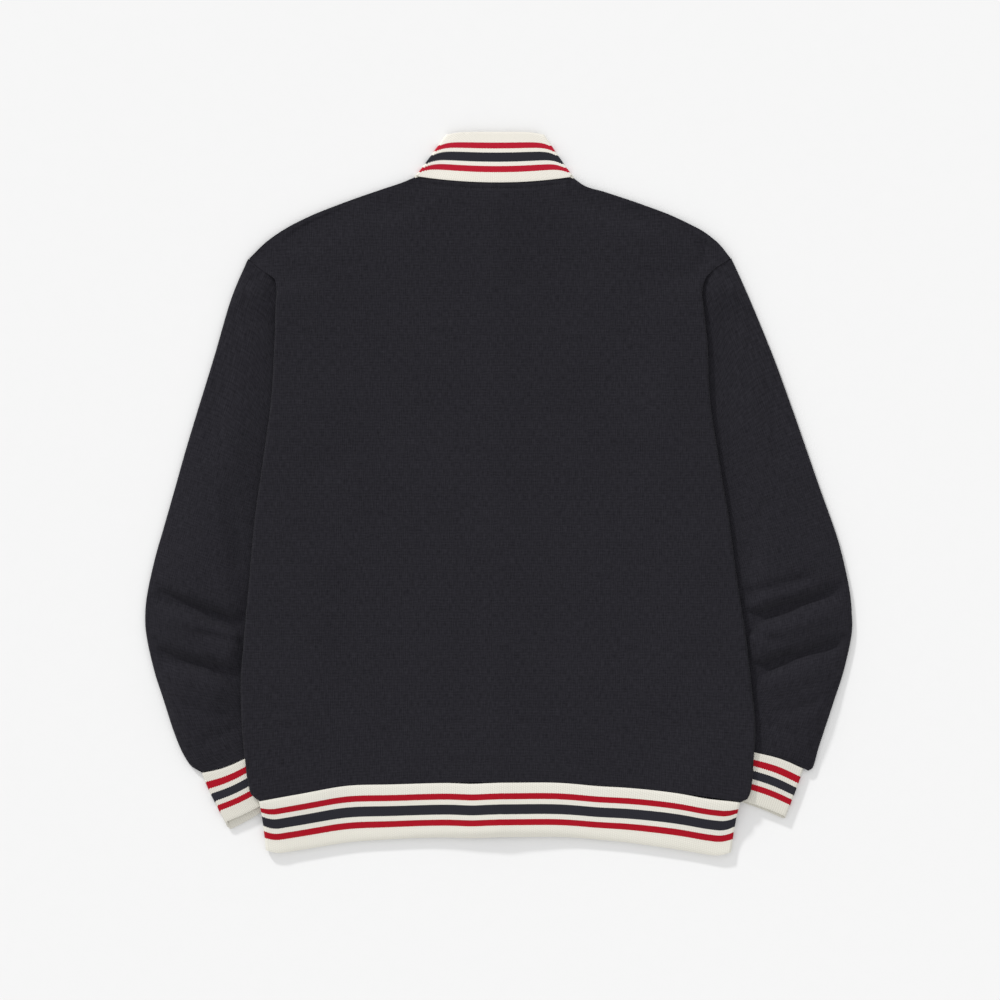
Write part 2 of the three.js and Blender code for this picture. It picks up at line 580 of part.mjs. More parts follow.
function collarRows(back) {
  const backEdge = back[0].slice(ARC_STEPS + 1, -(ARC_STEPS + 1));
  const station = {};
  for (const [name, side] of Object.entries(SIDES)) {
    const foldTop = COLLAR_FOLD_TOP[name];
    const corner = point(side.neckX, neckY(side.sign * side.neckX) + SEAM, 0);
    const pull = { x: foldTop.x - COLLAR_FRONT_FLARE, y: FRONT_COLLAR_TOP_Y };
    const topCurve = (t) => ({
      x: foldTop.x * (1 - t) ** 2 + 2 * pull.x * t * (1 - t) + FRONT_EDGE_X * t * t,
      y: foldTop.y * (1 - t) ** 2 + 2 * pull.y * t * (1 - t) + FRONT_COLLAR_TOP_Y * t * t,
    });
    const front = [];
    for (let k = NECK_STEPS; k >= 1; k -= 1) {
      const t = k / NECK_STEPS;
      const low = neckCurve(side, t, -SEAM / 2);
      const high = topCurve(t);
      front.push(COLLAR_STEPS.map((v) => {
        const x = lerp(low.x, high.x, v);
        return point(side.sign * x, lerp(low.y, high.y, v), FLOOR_LAYER + zipRise(x));
      }));
    }
    const fold = Array.from({ length: ARC_STEPS + 1 }, (_, k) => COLLAR_STEPS.map((v) => {
      const a = Math.PI * k / ARC_STEPS;
      const x = lerp(corner.x, foldTop.x, v) - FOLD_RADIUS * (1 - Math.sin(a));
      return point(side.sign * x, lerp(corner.y, foldTop.y, v), FLOOR_LAYER + FOLD_RADIUS * (1 - Math.cos(a)));
    }));
    station[name] = [...front, ...fold];
  }
  const seamWidth = SIDES.left.neckX + SIDES.right.neckX;
  const { left, right } = COLLAR_FOLD_TOP;
  const topMiddle = (right.x - left.x) / 2;
  const topHalf = (right.x + left.x) / 2 - FOLD_RADIUS;
  const middle = backEdge.map((p) => {
    const across = (p.x + SIDES.left.neckX) / seamWidth * 2 - 1;
    const topX = topMiddle + topHalf * across;
    const topY = COLLAR_TOP_Y - (COLLAR_TOP_Y - left.y) * across ** 6;
    const topZ = FLOOR_LAYER + PLY + COLLAR_LIFT * (1 - across ** 4);
    return COLLAR_STEPS.map((v) => (
      point(lerp(p.x, topX, v), lerp(p.y + SEAM, topY, v), lerp(p.z, topZ, v))
    ));
  });
  const stations = [...station.left, ...middle, ...station.right.reverse()];
  return COLLAR_STEPS.map((_, i) => stations.map((column) => column[i]));
}

// ---------------------------------------------------------------- zip
const wasm = await Module();
wasm.setup();

function toSolid(geometry) {
  const bare = geometry.index ? geometry.clone() : geometry;
  bare.deleteAttribute('normal');
  bare.deleteAttribute('uv');
  const merged = mergeVertices(bare, 1e-4);
  return new wasm.Manifold(new wasm.Mesh({
    numProp: 3,
    vertProperties: merged.attributes.position.array,
    triVerts: new Uint32Array(merged.index.array),
  }));
}

function joined(...geometries) {
  const solid = geometries.map(toSolid).reduce((a, b) => a.add(b));
  const mesh = solid.getMesh();
  return outward([...mesh.vertProperties], [...mesh.triVerts]);
}

function block(width, length, height, x, y, z) {
  return new THREE.BoxGeometry(width, length, height).translate(x, y, z);
}

// A plate with this outline in X and Y, from height z up.
function plate(shape, height, z) {
  const options = { depth: height, bevelEnabled: false, curveSegments: 6 };
  return new THREE.ExtrudeGeometry(shape, options).translate(0, 0, z);
}

const OVERLAP = 0.5;          // of bodies that are joined into one
const SINK = 0.2;             // of the slider's thin rims in its plates
const ZIP = { top: 301.5, bottom: -349.2, bead: 2.4, beadThick: 2.2, edge: 0.4 };
const BEAD_TOP = 288;         // the cord edges end under the slider's post
const BOX = { width: 9, length: 7.5, height: 3, gap: 0.3 };
const SLIDER = {
  y: 292, length: 14, nose: 5, tail: 4.2, taper: 3, plate: 1, inside: 2.8,
  rim: 1.1, rimDepth: 0.6, postWidth: 1.6, postLength: 5,
};
const BRIDGE = { width: 2, from: 287, to: 293.4, leg: 1, hole: 1.9, bar: 0.8, bend: 0.9, sink: 0.3 };
const PULL = {
  width: 6.4, length: 25, thick: 1.2, barRadius: 0.62, eyeWidth: 2.8, eyeLength: 5.2, eyeFrom: 0.3,
};
const PULL_PLAY = 0.33;       // between the pull's bar and the bridge's lower leg
const SLIDER_FACE_Z = ZIP_MIDDLE_Z - SLIDER.inside / 2 - SLIDER.plate; // outer face, towards the surface
const PULL_AXIS = {
  y: BRIDGE.from + BRIDGE.leg + PULL_PLAY + PULL.barRadius,
  z: SLIDER_FACE_Z - BRIDGE.hole / 2,
};

function tapeHalf(sign) {
  // a block between two distances from the middle of the zip and two heights along it
  const between = (near, far, from, to, thick) => (
    block(far - near, to - from, thick, sign * (near + far) / 2, (from + to) / 2, ZIP_MIDDLE_Z)
  );
  const beadEnd = ZIP.edge + ZIP.bead;
  return joined(
    between(ZIP.edge + OVERLAP, TAPE.width, ZIP.bottom, BEAD_TOP, TAPE.thick),
    between(beadEnd, TAPE.width, BEAD_TOP - OVERLAP, ZIP.top, TAPE.thick),
    between(ZIP.edge, beadEnd, ZIP.bottom, BEAD_TOP, ZIP.beadThick),
  );
}

function sliderBody() {
  const half = SLIDER.length / 2;
  const shoulder = half - SLIDER.taper;
  const outline = new THREE.Shape();
  outline.moveTo(-SLIDER.tail, -half);
  outline.lineTo(SLIDER.tail, -half);
  outline.lineTo(SLIDER.nose, shoulder);
  outline.quadraticCurveTo(SLIDER.nose, half, 0, half);
  outline.quadraticCurveTo(-SLIDER.nose, half, -SLIDER.nose, shoulder);
  outline.closePath();
  const innerFace = ZIP_MIDDLE_Z + SLIDER.inside / 2;
  const parts = [plate(outline, SLIDER.plate, SLIDER_FACE_Z), plate(outline, SLIDER.plate, innerFace)];
  const rimHeight = SLIDER.rimDepth + SINK;
  for (const sign of [-1, 1]) {
    const rim = new THREE.Shape();
    rim.moveTo(sign * (SLIDER.tail - SLIDER.rim), -half);
    rim.lineTo(sign * SLIDER.tail, -half);
    rim.lineTo(sign * SLIDER.nose, shoulder);
    rim.lineTo(sign * (SLIDER.nose - SLIDER.rim), shoulder);
    rim.closePath();
    parts.push(plate(rim, rimHeight, SLIDER_FACE_Z + SLIDER.plate - SINK));
    parts.push(plate(rim, rimHeight, innerFace - SLIDER.rimDepth));
  }
  const postY = half - 1 - SLIDER.postLength / 2;
  parts.push(block(SLIDER.postWidth, SLIDER.postLength, SLIDER.inside + 2 * OVERLAP, 0, postY, ZIP_MIDDLE_Z));
  parts.forEach((part) => part.translate(0, SLIDER.y, 0));

  const arch = new THREE.Shape();
  const foot = SLIDER_FACE_Z + BRIDGE.sink;
  const crown = SLIDER_FACE_Z - BRIDGE.hole - BRIDGE.bar;
  arch.moveTo(BRIDGE.from, foot);
  arch.lineTo(BRIDGE.from, crown + BRIDGE.bend);
  arch.quadraticCurveTo(BRIDGE.from, crown, BRIDGE.from + BRIDGE.bend, crown);
  arch.lineTo(BRIDGE.to - BRIDGE.bend, crown);
  arch.quadraticCurveTo(BRIDGE.to, crown, BRIDGE.to, crown + BRIDGE.bend);
  arch.lineTo(BRIDGE.to, foot);
  arch.lineTo(BRIDGE.to - BRIDGE.leg, foot);
  arch.lineTo(BRIDGE.to - BRIDGE.leg, crown + BRIDGE.bar);
  arch.lineTo(BRIDGE.from + BRIDGE.leg, crown + BRIDGE.bar);
  arch.lineTo(BRIDGE.from + BRIDGE.leg, foot);
  arch.closePath();
  // the side view's across and up become Y and Z, and its depth becomes X
  const upright = new THREE.Matrix4().set(
    0, 0, 1, -BRIDGE.width / 2,
    1, 0, 0, 0,
    0, 1, 0, 0,
    0, 0, 0, 1,
  );
  return joined(...parts, plate(arch, BRIDGE.width, 0).applyMatrix4(upright));
}

function pullTab() {
  const half = PULL.width / 2;
  const outline = new THREE.Shape();
  outline.moveTo(-half, 0);
  outline.lineTo(-half, half - PULL.length);
  outline.absarc(0, half - PULL.length, half, Math.PI, 2 * Math.PI, false);
  outline.lineTo(half, 0);
  outline.closePath();
  const eye = new THREE.Path();
  eye.moveTo(-PULL.eyeWidth / 2, -PULL.eyeFrom);
  eye.lineTo(PULL.eyeWidth / 2, -PULL.eyeFrom);
  eye.lineTo(PULL.eyeWidth / 2, -PULL.eyeLength);
  eye.lineTo(-PULL.eyeWidth / 2, -PULL.eyeLength);
  eye.closePath();
  outline.holes.push(eye);
  const tab = plate(outline, PULL.thick, -PULL.thick / 2);
  const bar = new THREE.CylinderGeometry(PULL.barRadius, PULL.barRadius, PULL.width, 8).rotateZ(Math.PI / 2);
  return joined(tab, bar);
}

// ---------------------------------------------------------------- the jacket
const jacket = new THREE.Group();

function place(name, geometry, color, roughness, metalness = 0) {
  const mesh = new THREE.Mesh(geometry, new THREE.MeshStandardMaterial({ color, roughness, metalness }));
  mesh.name = name;
  jacket.add(mesh);
  return mesh;
}

const back = backRows();
const fronts = {};
place('back_panel', wall(back), COLOURS.body, 0.9);
for (const [name, side] of Object.entries(SIDES)) {
  fronts[name] = frontRows(side);
  place(`front_${name}`, wall(fronts[name]), COLOURS.body, 0.9);
  place(`sleeve_${name}`, wall(sleeveRows(side, SLEEVE_SECTIONS[name]), true), COLOURS.body, 0.9);
  place(`cuff_${name}`, wall(cuffRows(side, CUFF_SECTIONS[name]), true), COLOURS.rib, 0.85);
  place(`zip_tape_${name}`, tapeHalf(side.sign), COLOURS.tape, 0.8);
}
place('hem_rib', wall(hemRows(back, fronts.left, fronts.right)), COLOURS.rib, 0.85);
place('collar', wall(collarRows(back)), COLOURS.rib, 0.85);
place('zip_slider', sliderBody(), COLOURS.metal, 0.35, 1);
place('zip_pull', pullTab(), COLOURS.metal, 0.35, 1).position.set(0, PULL_AXIS.y, PULL_AXIS.z);
place('zip_box', block(BOX.width, BOX.length, BOX.height, 0, 0, 0), COLOURS.metal, 0.4, 1)
  .position.set(0, ZIP.bottom - BOX.gap - BOX.length / 2, ZIP_MIDDLE_Z);

export default jacket;
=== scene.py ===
# %% [markdown]
# # A track jacket, laid flat on its front
# The jacket lies on a table with its back up. It is sewn from a back, two fronts, two sleeves, a stand
# collar, two cuffs and a hem band, and it closes with a zip that lies underneath. The measured model gives
# the place of every piece, and this lesson gives each one its cloth: the lie, the soft folds, the knit, the
# ribs and the stripes. Lengths are written in millimetres and become metres when a mesh is made.

# %% Load the measured model
import math

import bmesh
import bpy
import numpy as np
from mathutils import Matrix, Vector


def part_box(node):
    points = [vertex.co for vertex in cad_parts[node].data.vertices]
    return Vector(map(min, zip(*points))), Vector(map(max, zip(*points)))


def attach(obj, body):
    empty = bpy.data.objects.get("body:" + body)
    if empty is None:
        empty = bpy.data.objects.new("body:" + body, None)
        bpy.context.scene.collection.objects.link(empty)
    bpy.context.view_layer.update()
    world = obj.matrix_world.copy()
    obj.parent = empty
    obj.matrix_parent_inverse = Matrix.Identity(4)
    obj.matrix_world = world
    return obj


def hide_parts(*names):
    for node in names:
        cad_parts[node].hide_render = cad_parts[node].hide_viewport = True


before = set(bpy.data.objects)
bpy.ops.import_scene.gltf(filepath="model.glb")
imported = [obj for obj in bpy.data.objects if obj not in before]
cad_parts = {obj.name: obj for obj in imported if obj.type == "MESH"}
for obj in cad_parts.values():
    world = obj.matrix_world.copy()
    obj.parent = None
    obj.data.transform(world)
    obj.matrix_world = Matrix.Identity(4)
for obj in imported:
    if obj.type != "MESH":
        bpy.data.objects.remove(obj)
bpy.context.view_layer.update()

# %% [markdown]
# ## Camera, lights and table
# A flat lay is seen from straight above, with a long lens so that nothing leans. One low lamp on the upper
# left draws a soft shadow on the other side and shows the folds, and an even pale sky does the rest.

# %% Camera
MM = 0.001
VIEW_WIDTH, VIEW_CENTRE = 1.05, (0.0016, -0.0074)
LENS, SENSOR = 100, 36
TOP_OF_CLOTH = 0.006

camera = bpy.data.objects.new("camera", bpy.data.cameras.new("camera"))
bpy.context.scene.collection.objects.link(camera)
bpy.context.scene.camera = camera
camera.data.lens = LENS
camera.data.clip_end = 50
camera.location = (*VIEW_CENTRE, VIEW_WIDTH * LENS / SENSOR + TOP_OF_CLOTH)
print("camera height:", round(camera.location.z, 3))

# %% Lights
bpy.context.scene.view_settings.view_transform = "Standard"
sky = bpy.data.worlds.new("studio sky")
bpy.context.scene.world = sky
sky.use_nodes = True
sky_light = sky.node_tree.nodes["Background"]
sky_light.inputs["Color"].default_value = (1, 1, 1, 1)
sky_light.inputs["Strength"].default_value = 0.93

lamp = bpy.data.objects.new("low lamp", bpy.data.lights.new("low lamp", "SUN"))
bpy.context.scene.collection.objects.link(lamp)
lamp.data.energy = 2.05
lamp.data.angle = math.radians(4.5)
LAMP_HEIGHT = math.radians(20)
LAMP_TURN = math.radians(-60)
shine = Vector((math.cos(LAMP_TURN), math.sin(LAMP_TURN), -math.tan(LAMP_HEIGHT)))
lamp.rotation_euler = shine.to_track_quat("-Z", "Y").to_euler()
print("lamp stands", round(math.degrees(LAMP_HEIGHT)), "degrees above the table")

# %% [markdown]
# ## Helpers for the lie of the cloth
# Each cloth piece starts as a flat grid, and a function moves every point of it to where the cloth lies,
# as a sculptor would. Outlines are short tables of sizes with a smooth curve through their rows, and soft
# folds are troughs that fade out at their ends.

# %% Numbers
def smooth(t):
    """0 before 0, 1 after 1, with a smooth step between."""
    t = np.clip(t, 0, 1)
    return t * t * (3 - 2 * t)


def bell(t):
    """A round bump of height 1 at 0."""
    return np.exp(-t * t)


def mix(a, b, t):
    """From a at 0 to b at 1."""
    return a + (b - a) * t


def curve(start, pull, end, t):
    """From start at 0 to end at 1, on a curve that is drawn towards pull."""
    return start * (1 - t) ** 2 + 2 * pull * t * (1 - t) + end * t * t


def table(names, *rows):
    """The named columns of a table of sizes."""
    return {name: np.array(column, float) for name, column in zip(names.split(), zip(*rows))}


def along(rows, key, out, at):
    """Column out where column key is at, on a smooth curve through the rows."""
    x, y = rows[key], rows[out]
    if x[0] > x[-1]:
        x, y = x[::-1], y[::-1]
    at = np.clip(at, x[0], x[-1])
    slope = np.gradient(y, x)
    i = np.clip(np.searchsorted(x, at) - 1, 0, len(x) - 2)
    span = x[i + 1] - x[i]
    t = (at - x[i]) / span
    bend = span * (slope[i] * t * (1 - t) ** 2 - slope[i + 1] * t * t * (1 - t))
    return mix(y[i], y[i + 1], t * t * (3 - 2 * t)) + bend


def straight(rows, key, out, at):
    """The same, on straight lines between the rows."""
    x, y = rows[key], rows[out]
    if x[0] > x[-1]:
        x, y = x[::-1], y[::-1]
    return np.interp(at, x, y)


# %% Folds
def fold_depth(x, y, folds):
    """How far the cloth sinks at (x, y). Each fold is a depth, a width and the points of its line."""
    total = np.zeros_like(x)
    for depth, width, *line in folds:
        line = np.array(line, float)
        steps = np.hypot(*(line[1:] - line[:-1]).T)
        nearest = np.full_like(x, 1e9)
        share = np.zeros_like(x)
        for k, step in enumerate(steps):
            way = (line[k + 1] - line[k]) / step
            run = np.clip((x - line[k][0]) * way[0] + (y - line[k][1]) * way[1], 0, step)
            far = np.hypot(x - line[k][0] - run * way[0], y - line[k][1] - run * way[1])
            here = far < nearest
            nearest = np.where(here, far, nearest)
            share = np.where(here, (steps[:k].sum() + run) / steps.sum(), share)
        total += depth * bell(nearest / width) * smooth(4 * share + 0.1) * smooth(4 * (1 - share) + 0.1)
    return total


# %% A cloth piece from a grid
def new_piece(name, bm):
    """A smooth-shaded object made from bm, in the scene."""
    mesh = bpy.data.meshes.new(name)
    bm.to_mesh(mesh)
    bm.free()
    mesh.shade_smooth()
    piece = bpy.data.objects.new(name, mesh)
    bpy.context.scene.collection.objects.link(piece)
    return piece


def cloth(name, across, down, place, thickness, closed=False):
    """A grid of across by down, moved by place(u, v), which gives its points and its pattern map."""
    bm = bmesh.new()
    bmesh.ops.create_grid(bm, x_segments=across, y_segments=down, size=0.5)
    at = np.array([vert.co[:2] for vert in bm.verts]) + 0.5
    points, pattern = place(at[:, 0], at[:, 1])
    pattern_map = bm.loops.layers.uv.new("cloth")
    bm.verts.index_update()
    for face in bm.faces:
        for loop in face.loops:
            loop[pattern_map].uv = pattern[loop.vert.index]
    for vert, point in zip(bm.verts, points * MM):
        vert.co = point
    if closed:
        bmesh.ops.remove_doubles(bm, verts=bm.verts, dist=0.01 * MM)
        bmesh.ops.recalc_face_normals(bm, faces=bm.faces)
    piece = new_piece(name, bm)
    wall = piece.modifiers.new("thickness", "SOLIDIFY")
    wall.thickness = thickness * MM
    wall.offset = 0
    edge = piece.modifiers.new("soft edge", "BEVEL")
    edge.width = 0.3 * thickness * MM
    edge.segments = 2
    edge.limit_method = "ANGLE"
    edge.angle_limit = math.radians(55)
    print(name, "has", len(piece.data.vertices), "points")
    return piece


# %% [markdown]
# ## The outlines
# Everything is measured as it lies. Distances across are from the middle of the back, whichever side they
# are on, so one set of functions makes both halves, and the two tables keep them a little different, as
# they are on a jacket that somebody has laid down by hand. In the tables, mid is the height of a row of the
# back where it crosses the middle, turn is how far the row's end rolls under, and strip is the width that
# lies turned under. A wave is a list of height, middle and width.

# %% Sizes that all pieces share
CLOTH = 1.8
RIB = 2.6
PLY = 2.8
SEAM_GAP = 0.3
FLOOR = CLOTH / 2
FOLD_RADIUS = 2.2
CENTRE_LIFT = 5.6
SIDE_LIFT = 2 * PLY + 2 * FOLD_RADIUS - CENTRE_LIFT
NECK_Y = 325.5
TIP_Y = 248
FOLD_TOP = 203
UNDERARM_Y = 13
HEM_Y = -303.7
HEM_BOTTOM_Y, HEM_BOTTOM_DROP, HEM_BOTTOM_X = -360.8, 16, 243
ZIP_X = 6.3

# %% Left and right
# hem is how far the seam drops at the side and how sharply, and hem_lip how far the bottom hangs lower
# there; seam_step is how far the sleeve lies below the back at the armhole seam
LEFT = {
    "sign": -1,
    "neck": (87, 332.6),
    "shoulder": table("mid x y", (325.5, 87, 332.6), (321, 98, 327.8), (310, 125, 318.6),
                      (297, 165, 304.5), (282, 207, 287), (264, 241.3, 266), (248, 263, 245)),
    "tip": table("mid x y turn strip", (248, 263, 245, 0, 0), (239, 247, 232.5, 0, 0),
                 (230, 235, 225, 0, 0), (221, 232.2, 217, 60, 0), (212, 232.2, 210, 120, 1),
                 (203, 232.5, 203, 180, 5)),
    "fold": table("y x", (203, 232.5), (160, 234), (98, 237.5), (35, 246), (-28, 254.8), (-91, 260.5),
                  (-154, 266.2), (-200, 269.5), (-240, 268.5), (-280, 265), (-308, 261), (-317, 258),
                  (-323, 250)),
    "strip": table("y width", (203, 5), (190, 10), (140, 31), (75, 54), (13, 70), (-60, 58), (-140, 40),
                   (-220, 20), (-290, 5), (-323, 2.5)),
    "arm": table("y x", (245, 263), (232.5, 247), (225, 235), (200, 224), (140, 206), (75, 191),
                 (13, 182), (-48, 196), (-118, 207), (-165, 211), (-214, 215.5), (-265, 227),
                 (-313, 205), (-400, 205)),
    "sleeve": table("row out_x out_y in_x in_y bend loft",
                    (0, 263, 245, 182, 13, 1, 0.3), (1, 280.4, 203, 182.6, 10, 0.8, 2.8),
                    (2, 298, 143, 183.4, 6, 0.5, 3.4), (3, 314, 91, 184.6, 0, 0.2, 4.8),
                    (4, 327, 48, 187, -9, 0, 5.6), (5, 340, 2, 196, -48, 0, 6.8),
                    (6, 352, -40, 203, -88, 0, 7.8), (7, 360, -68, 207, -118, 0, 8.2),
                    (8, 368, -104, 209.5, -156, 0, 7.8), (9, 370.5, -128, 212, -177, 0, 7.8),
                    (10, 369, -151, 214, -200, 0, 7.8), (11, 361, -187, 217, -222, 0, 7.8),
                    (12, 351, -218, 220, -231, 0, 7.8), (13, 340, -252, 223, -241, 0, 5.6),
                    (14, 329, -277, 226, -252, 0, 3.6), (14.6, 321, -287.5, 226.5, -260, 0, 1.8),
                    (15, 311, -293.3, 227, -265.6, 0, 0.6)),
    "cuff": table("row out_x out_y in_x in_y reach", (0, 310.6, -294.2, 226.6, -266.5, 0),
                  (1, 302, -314.5, 218.5, -277, 3), (2, 286, -345.5, 205, -306.5, 9)),
    "collar_top": (54, 376),
    "hem": (19.3, 2.6),
    "hem_lip": 3.6,
    "seam_step": 0.1,
    "hem_wave": [(2.6, 160, 36), (-1.3, 28, 18)],
    "cuff_wave": -1.9,
}
RIGHT = {
    "sign": 1,
    "neck": (78, 332),
    "shoulder": table("mid x y", (325.5, 78, 332), (321, 88, 324.6), (310, 112, 316.6), (297, 150, 303.9),
                      (282, 192.5, 287), (264, 227.2, 266), (248, 244.3, 246)),
    "tip": table("mid x y turn strip", (248, 244.3, 246, 0, 0), (239, 228, 236.5, 0, 0),
                 (230, 218.5, 227.5, 0, 0), (221, 214, 219, 60, 0), (212, 213.3, 211, 120, 1),
                 (203, 213.4, 203, 180, 5)),
    "fold": table("y x", (203, 213.4), (160, 218), (98, 221), (35, 230.5), (-28, 241), (-91, 249.4),
                  (-154, 259), (-200, 264.2), (-249, 268.6), (-280, 266.8), (-308, 264.5), (-317, 262.5),
                  (-321.5, 259.5), (-324.5, 252.5)),
    "strip": table("y width", (203, 5), (190, 8), (140, 25), (75, 42), (13, 58), (-60, 48), (-140, 34),
                   (-220, 18), (-290, 5), (-323, 2.5)),
    "arm": table("y x", (246, 244.3), (236.5, 228), (227.5, 218.5), (200, 207), (140, 193), (75, 182),
                 (13, 176.5), (-48, 192), (-118, 205), (-165, 210), (-214, 215), (-258, 236), (-310, 218),
                 (-400, 218)),
    "sleeve": table("row out_x out_y in_x in_y bend loft",
                    (0, 244.3, 246, 176.5, 13, 1, 0.3), (1, 263.4, 203, 177.2, 10, 0.8, 1.5),
                    (2, 288, 143, 178, 6, 0.5, 3.4), (3, 307, 91, 179.4, 0, 0.2, 4.8),
                    (4, 322, 48, 182.5, -9, 0, 5.6), (5, 338, 2, 192, -48, 0, 6.8),
                    (6, 353, -40, 200, -84, 0, 7.8), (7, 361, -68, 205, -110, 0, 8.2),
                    (8, 368, -101, 208, -146, 0, 7.8), (9, 370.5, -125, 210, -170, 0, 7.8),
                    (10, 370.3, -149, 213, -195, 0, 7.8), (11, 362, -187, 219, -218, 0, 7.8),
                    (12, 352, -218, 224, -226, 0, 7.8), (13, 340.8, -252, 229, -235, 0, 7.2),
                    (14, 334.4, -272, 233, -244, 0, 5.6), (14.6, 331, -284.5, 235, -253, 0, 3.6),
                    (14.85, 328.8, -289.4, 236.1, -257.5, 0, 2),
                    (15, 325, -291.2, 236.5, -259, 0, 0.6)),
    "cuff": table("row out_x out_y in_x in_y reach", (0, 319.2, -289.2, 236.2, -259.9, 0),
                  (1, 313, -307.5, 230.5, -274.5, 1), (2, 300.8, -339.5, 218.5, -309, 3)),
    "collar_top": (46.7, 376),
    "hem": (20.3, 2.1),
    "hem_lip": 5.2,
    "seam_step": 0.4,
    "hem_wave": [(0.8, 60, 30), (-0.7, 105, 22), (-1.6, 220, 22)],
    "cuff_wave": 1.7,
}
SIDES = {"left": LEFT, "right": RIGHT}


# %% The hem seam
def hem_wave(side, x):
    """How far the hem band waves up and down where it was not laid straight."""
    return sum(height * bell((x - middle) / width) for height, middle, width in side["hem_wave"])


def hem_seam(side, x):
    """Height up the jacket of the seam between the body and the hem band."""
    drop, power = side["hem"]
    return HEM_Y - drop * np.clip(x / side["fold"]["x"][-1], 0, 1) ** power + hem_wave(side, x)


def cuff_seam(side, across):
    """How far the seam between sleeve and cuff waves off a straight line."""
    return side["cuff_wave"] * np.sin(2 * math.pi * across)


# %% Heights of the layers
SLEEVE_GAP = 2.5
FRONT_RAMP, BACK_RAMP = 26, 64
CLIMB_Y, CLIMB_RAMP = 17, 17
ZIP_LIFT, ZIP_FLAT, ZIP_RAMP = 2.6, 18, 32
SHOULDER_SLANT, SHOULDER_RAMP = 0.85, 38
SLIDER_Y = 294


def over_sleeve(side, x, y, ramp):
    """1 where the body lies on the hidden part of a sleeve, falling to 0 over the ramp beside it."""
    return 1 - smooth((along(side["arm"], "y", "x", y) - x - SLEEVE_GAP) / ramp)


def zip_rise(x):
    """How far the fronts stand up: fully over the tape, then down a ramp beside it."""
    return ZIP_LIFT * (1 - smooth((x - ZIP_FLAT) / ZIP_RAMP))


def front_height(side, x, y):
    """Middle height of a front."""
    climb = 1 - smooth((y - CLIMB_Y) / CLIMB_RAMP)
    return FLOOR + 2 * PLY * over_sleeve(side, x, y, FRONT_RAMP) * climb + zip_rise(x)


def back_height(side, x, y):
    """Middle height of the back before its soft folds."""
    top_x = np.concatenate([[0, 60], side["shoulder"]["x"][1:]])
    top_y = np.concatenate([[385, 352], side["shoulder"]["y"][1:]])
    from_edge = (np.interp(x, top_x, top_y) - y) * SHOULDER_SLANT
    edge_dip = 1.2 * (1 - smooth(from_edge / 4))
    lift = mix(PLY, CENTRE_LIFT, smooth(from_edge / SHOULDER_RAMP)) - edge_dip
    started = smooth((232 - y) / 26)
    beside = SIDE_LIFT * over_sleeve(side, x, y, BACK_RAMP) * started
    over_zip = 2.2 * bell(x / 24) * smooth((338 - y) / 36)
    over_slider = 1.2 * bell(np.hypot(x, y - SLIDER_Y) / 30)
    return FLOOR + lift + beside + over_zip + over_slider


# %% [markdown]
# ## The back
# The back is one panel from the neck seam to the hem band. Its sides turn under in a soft roll where the
# body lies over the sleeves, and the turned-under strips end at the side seams. A grid is right for it: its
# rows run across, and each row ends in the roll and the strip.

# %% Rows of the back
NECK_STITCH = 6.2
ROLL_START, STRIP_START, ROLL_PART = 0.8, 0.9, 0.1


def neck_seam(side, x):
    """Height up the jacket of the seam between the back and the collar."""
    neck_x, neck_y = side["neck"]
    return NECK_Y + (neck_y - NECK_Y) * np.clip(x / neck_x, 0, 1) ** 2


def back_edge(side, mid):
    """Where the row whose middle is at height mid ends: x, y, turn of the edge, width turned under."""
    low_y = mid - side["hem"][0] * smooth((-190 - mid) / (-190 - HEM_Y))
    shoulder, low = mid >= TIP_Y, mid < FOLD_TOP
    tip_x, tip_y, tip_turn, tip_strip = [
        straight(side["tip"], "mid", column, mid) for column in "x y turn strip".split()]
    x = np.select([shoulder, low], [along(side["shoulder"], "mid", "x", mid),
                                    along(side["fold"], "y", "x", low_y)], tip_x)
    y = np.select([shoulder, low], [along(side["shoulder"], "mid", "y", mid), low_y], tip_y)
    turn = np.select([shoulder, low], [0, 180], tip_turn)
    strip = np.select([shoulder, low], [0, along(side["strip"], "y", "width", low_y)], tip_strip)
    return x, y, np.radians(turn), np.maximum(strip - FOLD_RADIUS, 0.3)


def half_back(side, share, mid):
    """Points of one half. share runs from 0 in the middle, over the roll, to 1 at the strip's end."""
    edge_x, edge_y, turn, strip = back_edge(side, mid)
    rolled = math.pi * FOLD_RADIUS * (1 - turn / math.pi)
    past = np.where(turn < math.pi / 2, FOLD_RADIUS * np.sin(turn) + strip * np.cos(turn), FOLD_RADIUS)
    flat_end = edge_x - past - rolled
    bow = mix(2, side["hem"][1], smooth((-150 - mid) / 100))
    flat = 1 - (1 - np.clip(share / ROLL_START, 0, 1)) ** 1.35
    roll = np.clip((share - ROLL_START) / ROLL_PART, 0, 1)
    rest = np.clip((share - STRIP_START) / ROLL_PART, 0, 1)
    x_flat = flat_end * flat
    y = edge_y + (mid - edge_y) * (1 - np.clip(x_flat / edge_x, 0, 1) ** bow)
    x = x_flat + rolled * roll + FOLD_RADIUS * np.sin(turn * roll) + rest * strip * np.cos(turn)
    drop = FOLD_RADIUS * (1 - np.cos(turn * roll)) + rest * strip * np.sin(turn)
    z = back_height(side, x_flat, y) - drop
    stitched = bell((neck_seam(side, x_flat) - y - NECK_STITCH) / 1.3)
    z = z - 0.8 * stitched * smooth((side["neck"][0] - 4 - x_flat) / 8)
    along_cloth = x_flat + math.pi * FOLD_RADIUS * roll + strip * rest
    return x, y, z, along_cloth


FOLDS_FADE, FADE_PART = 0.72, 0.08
GROOVE_ROWS, GROOVE_Y = 0.07, 14
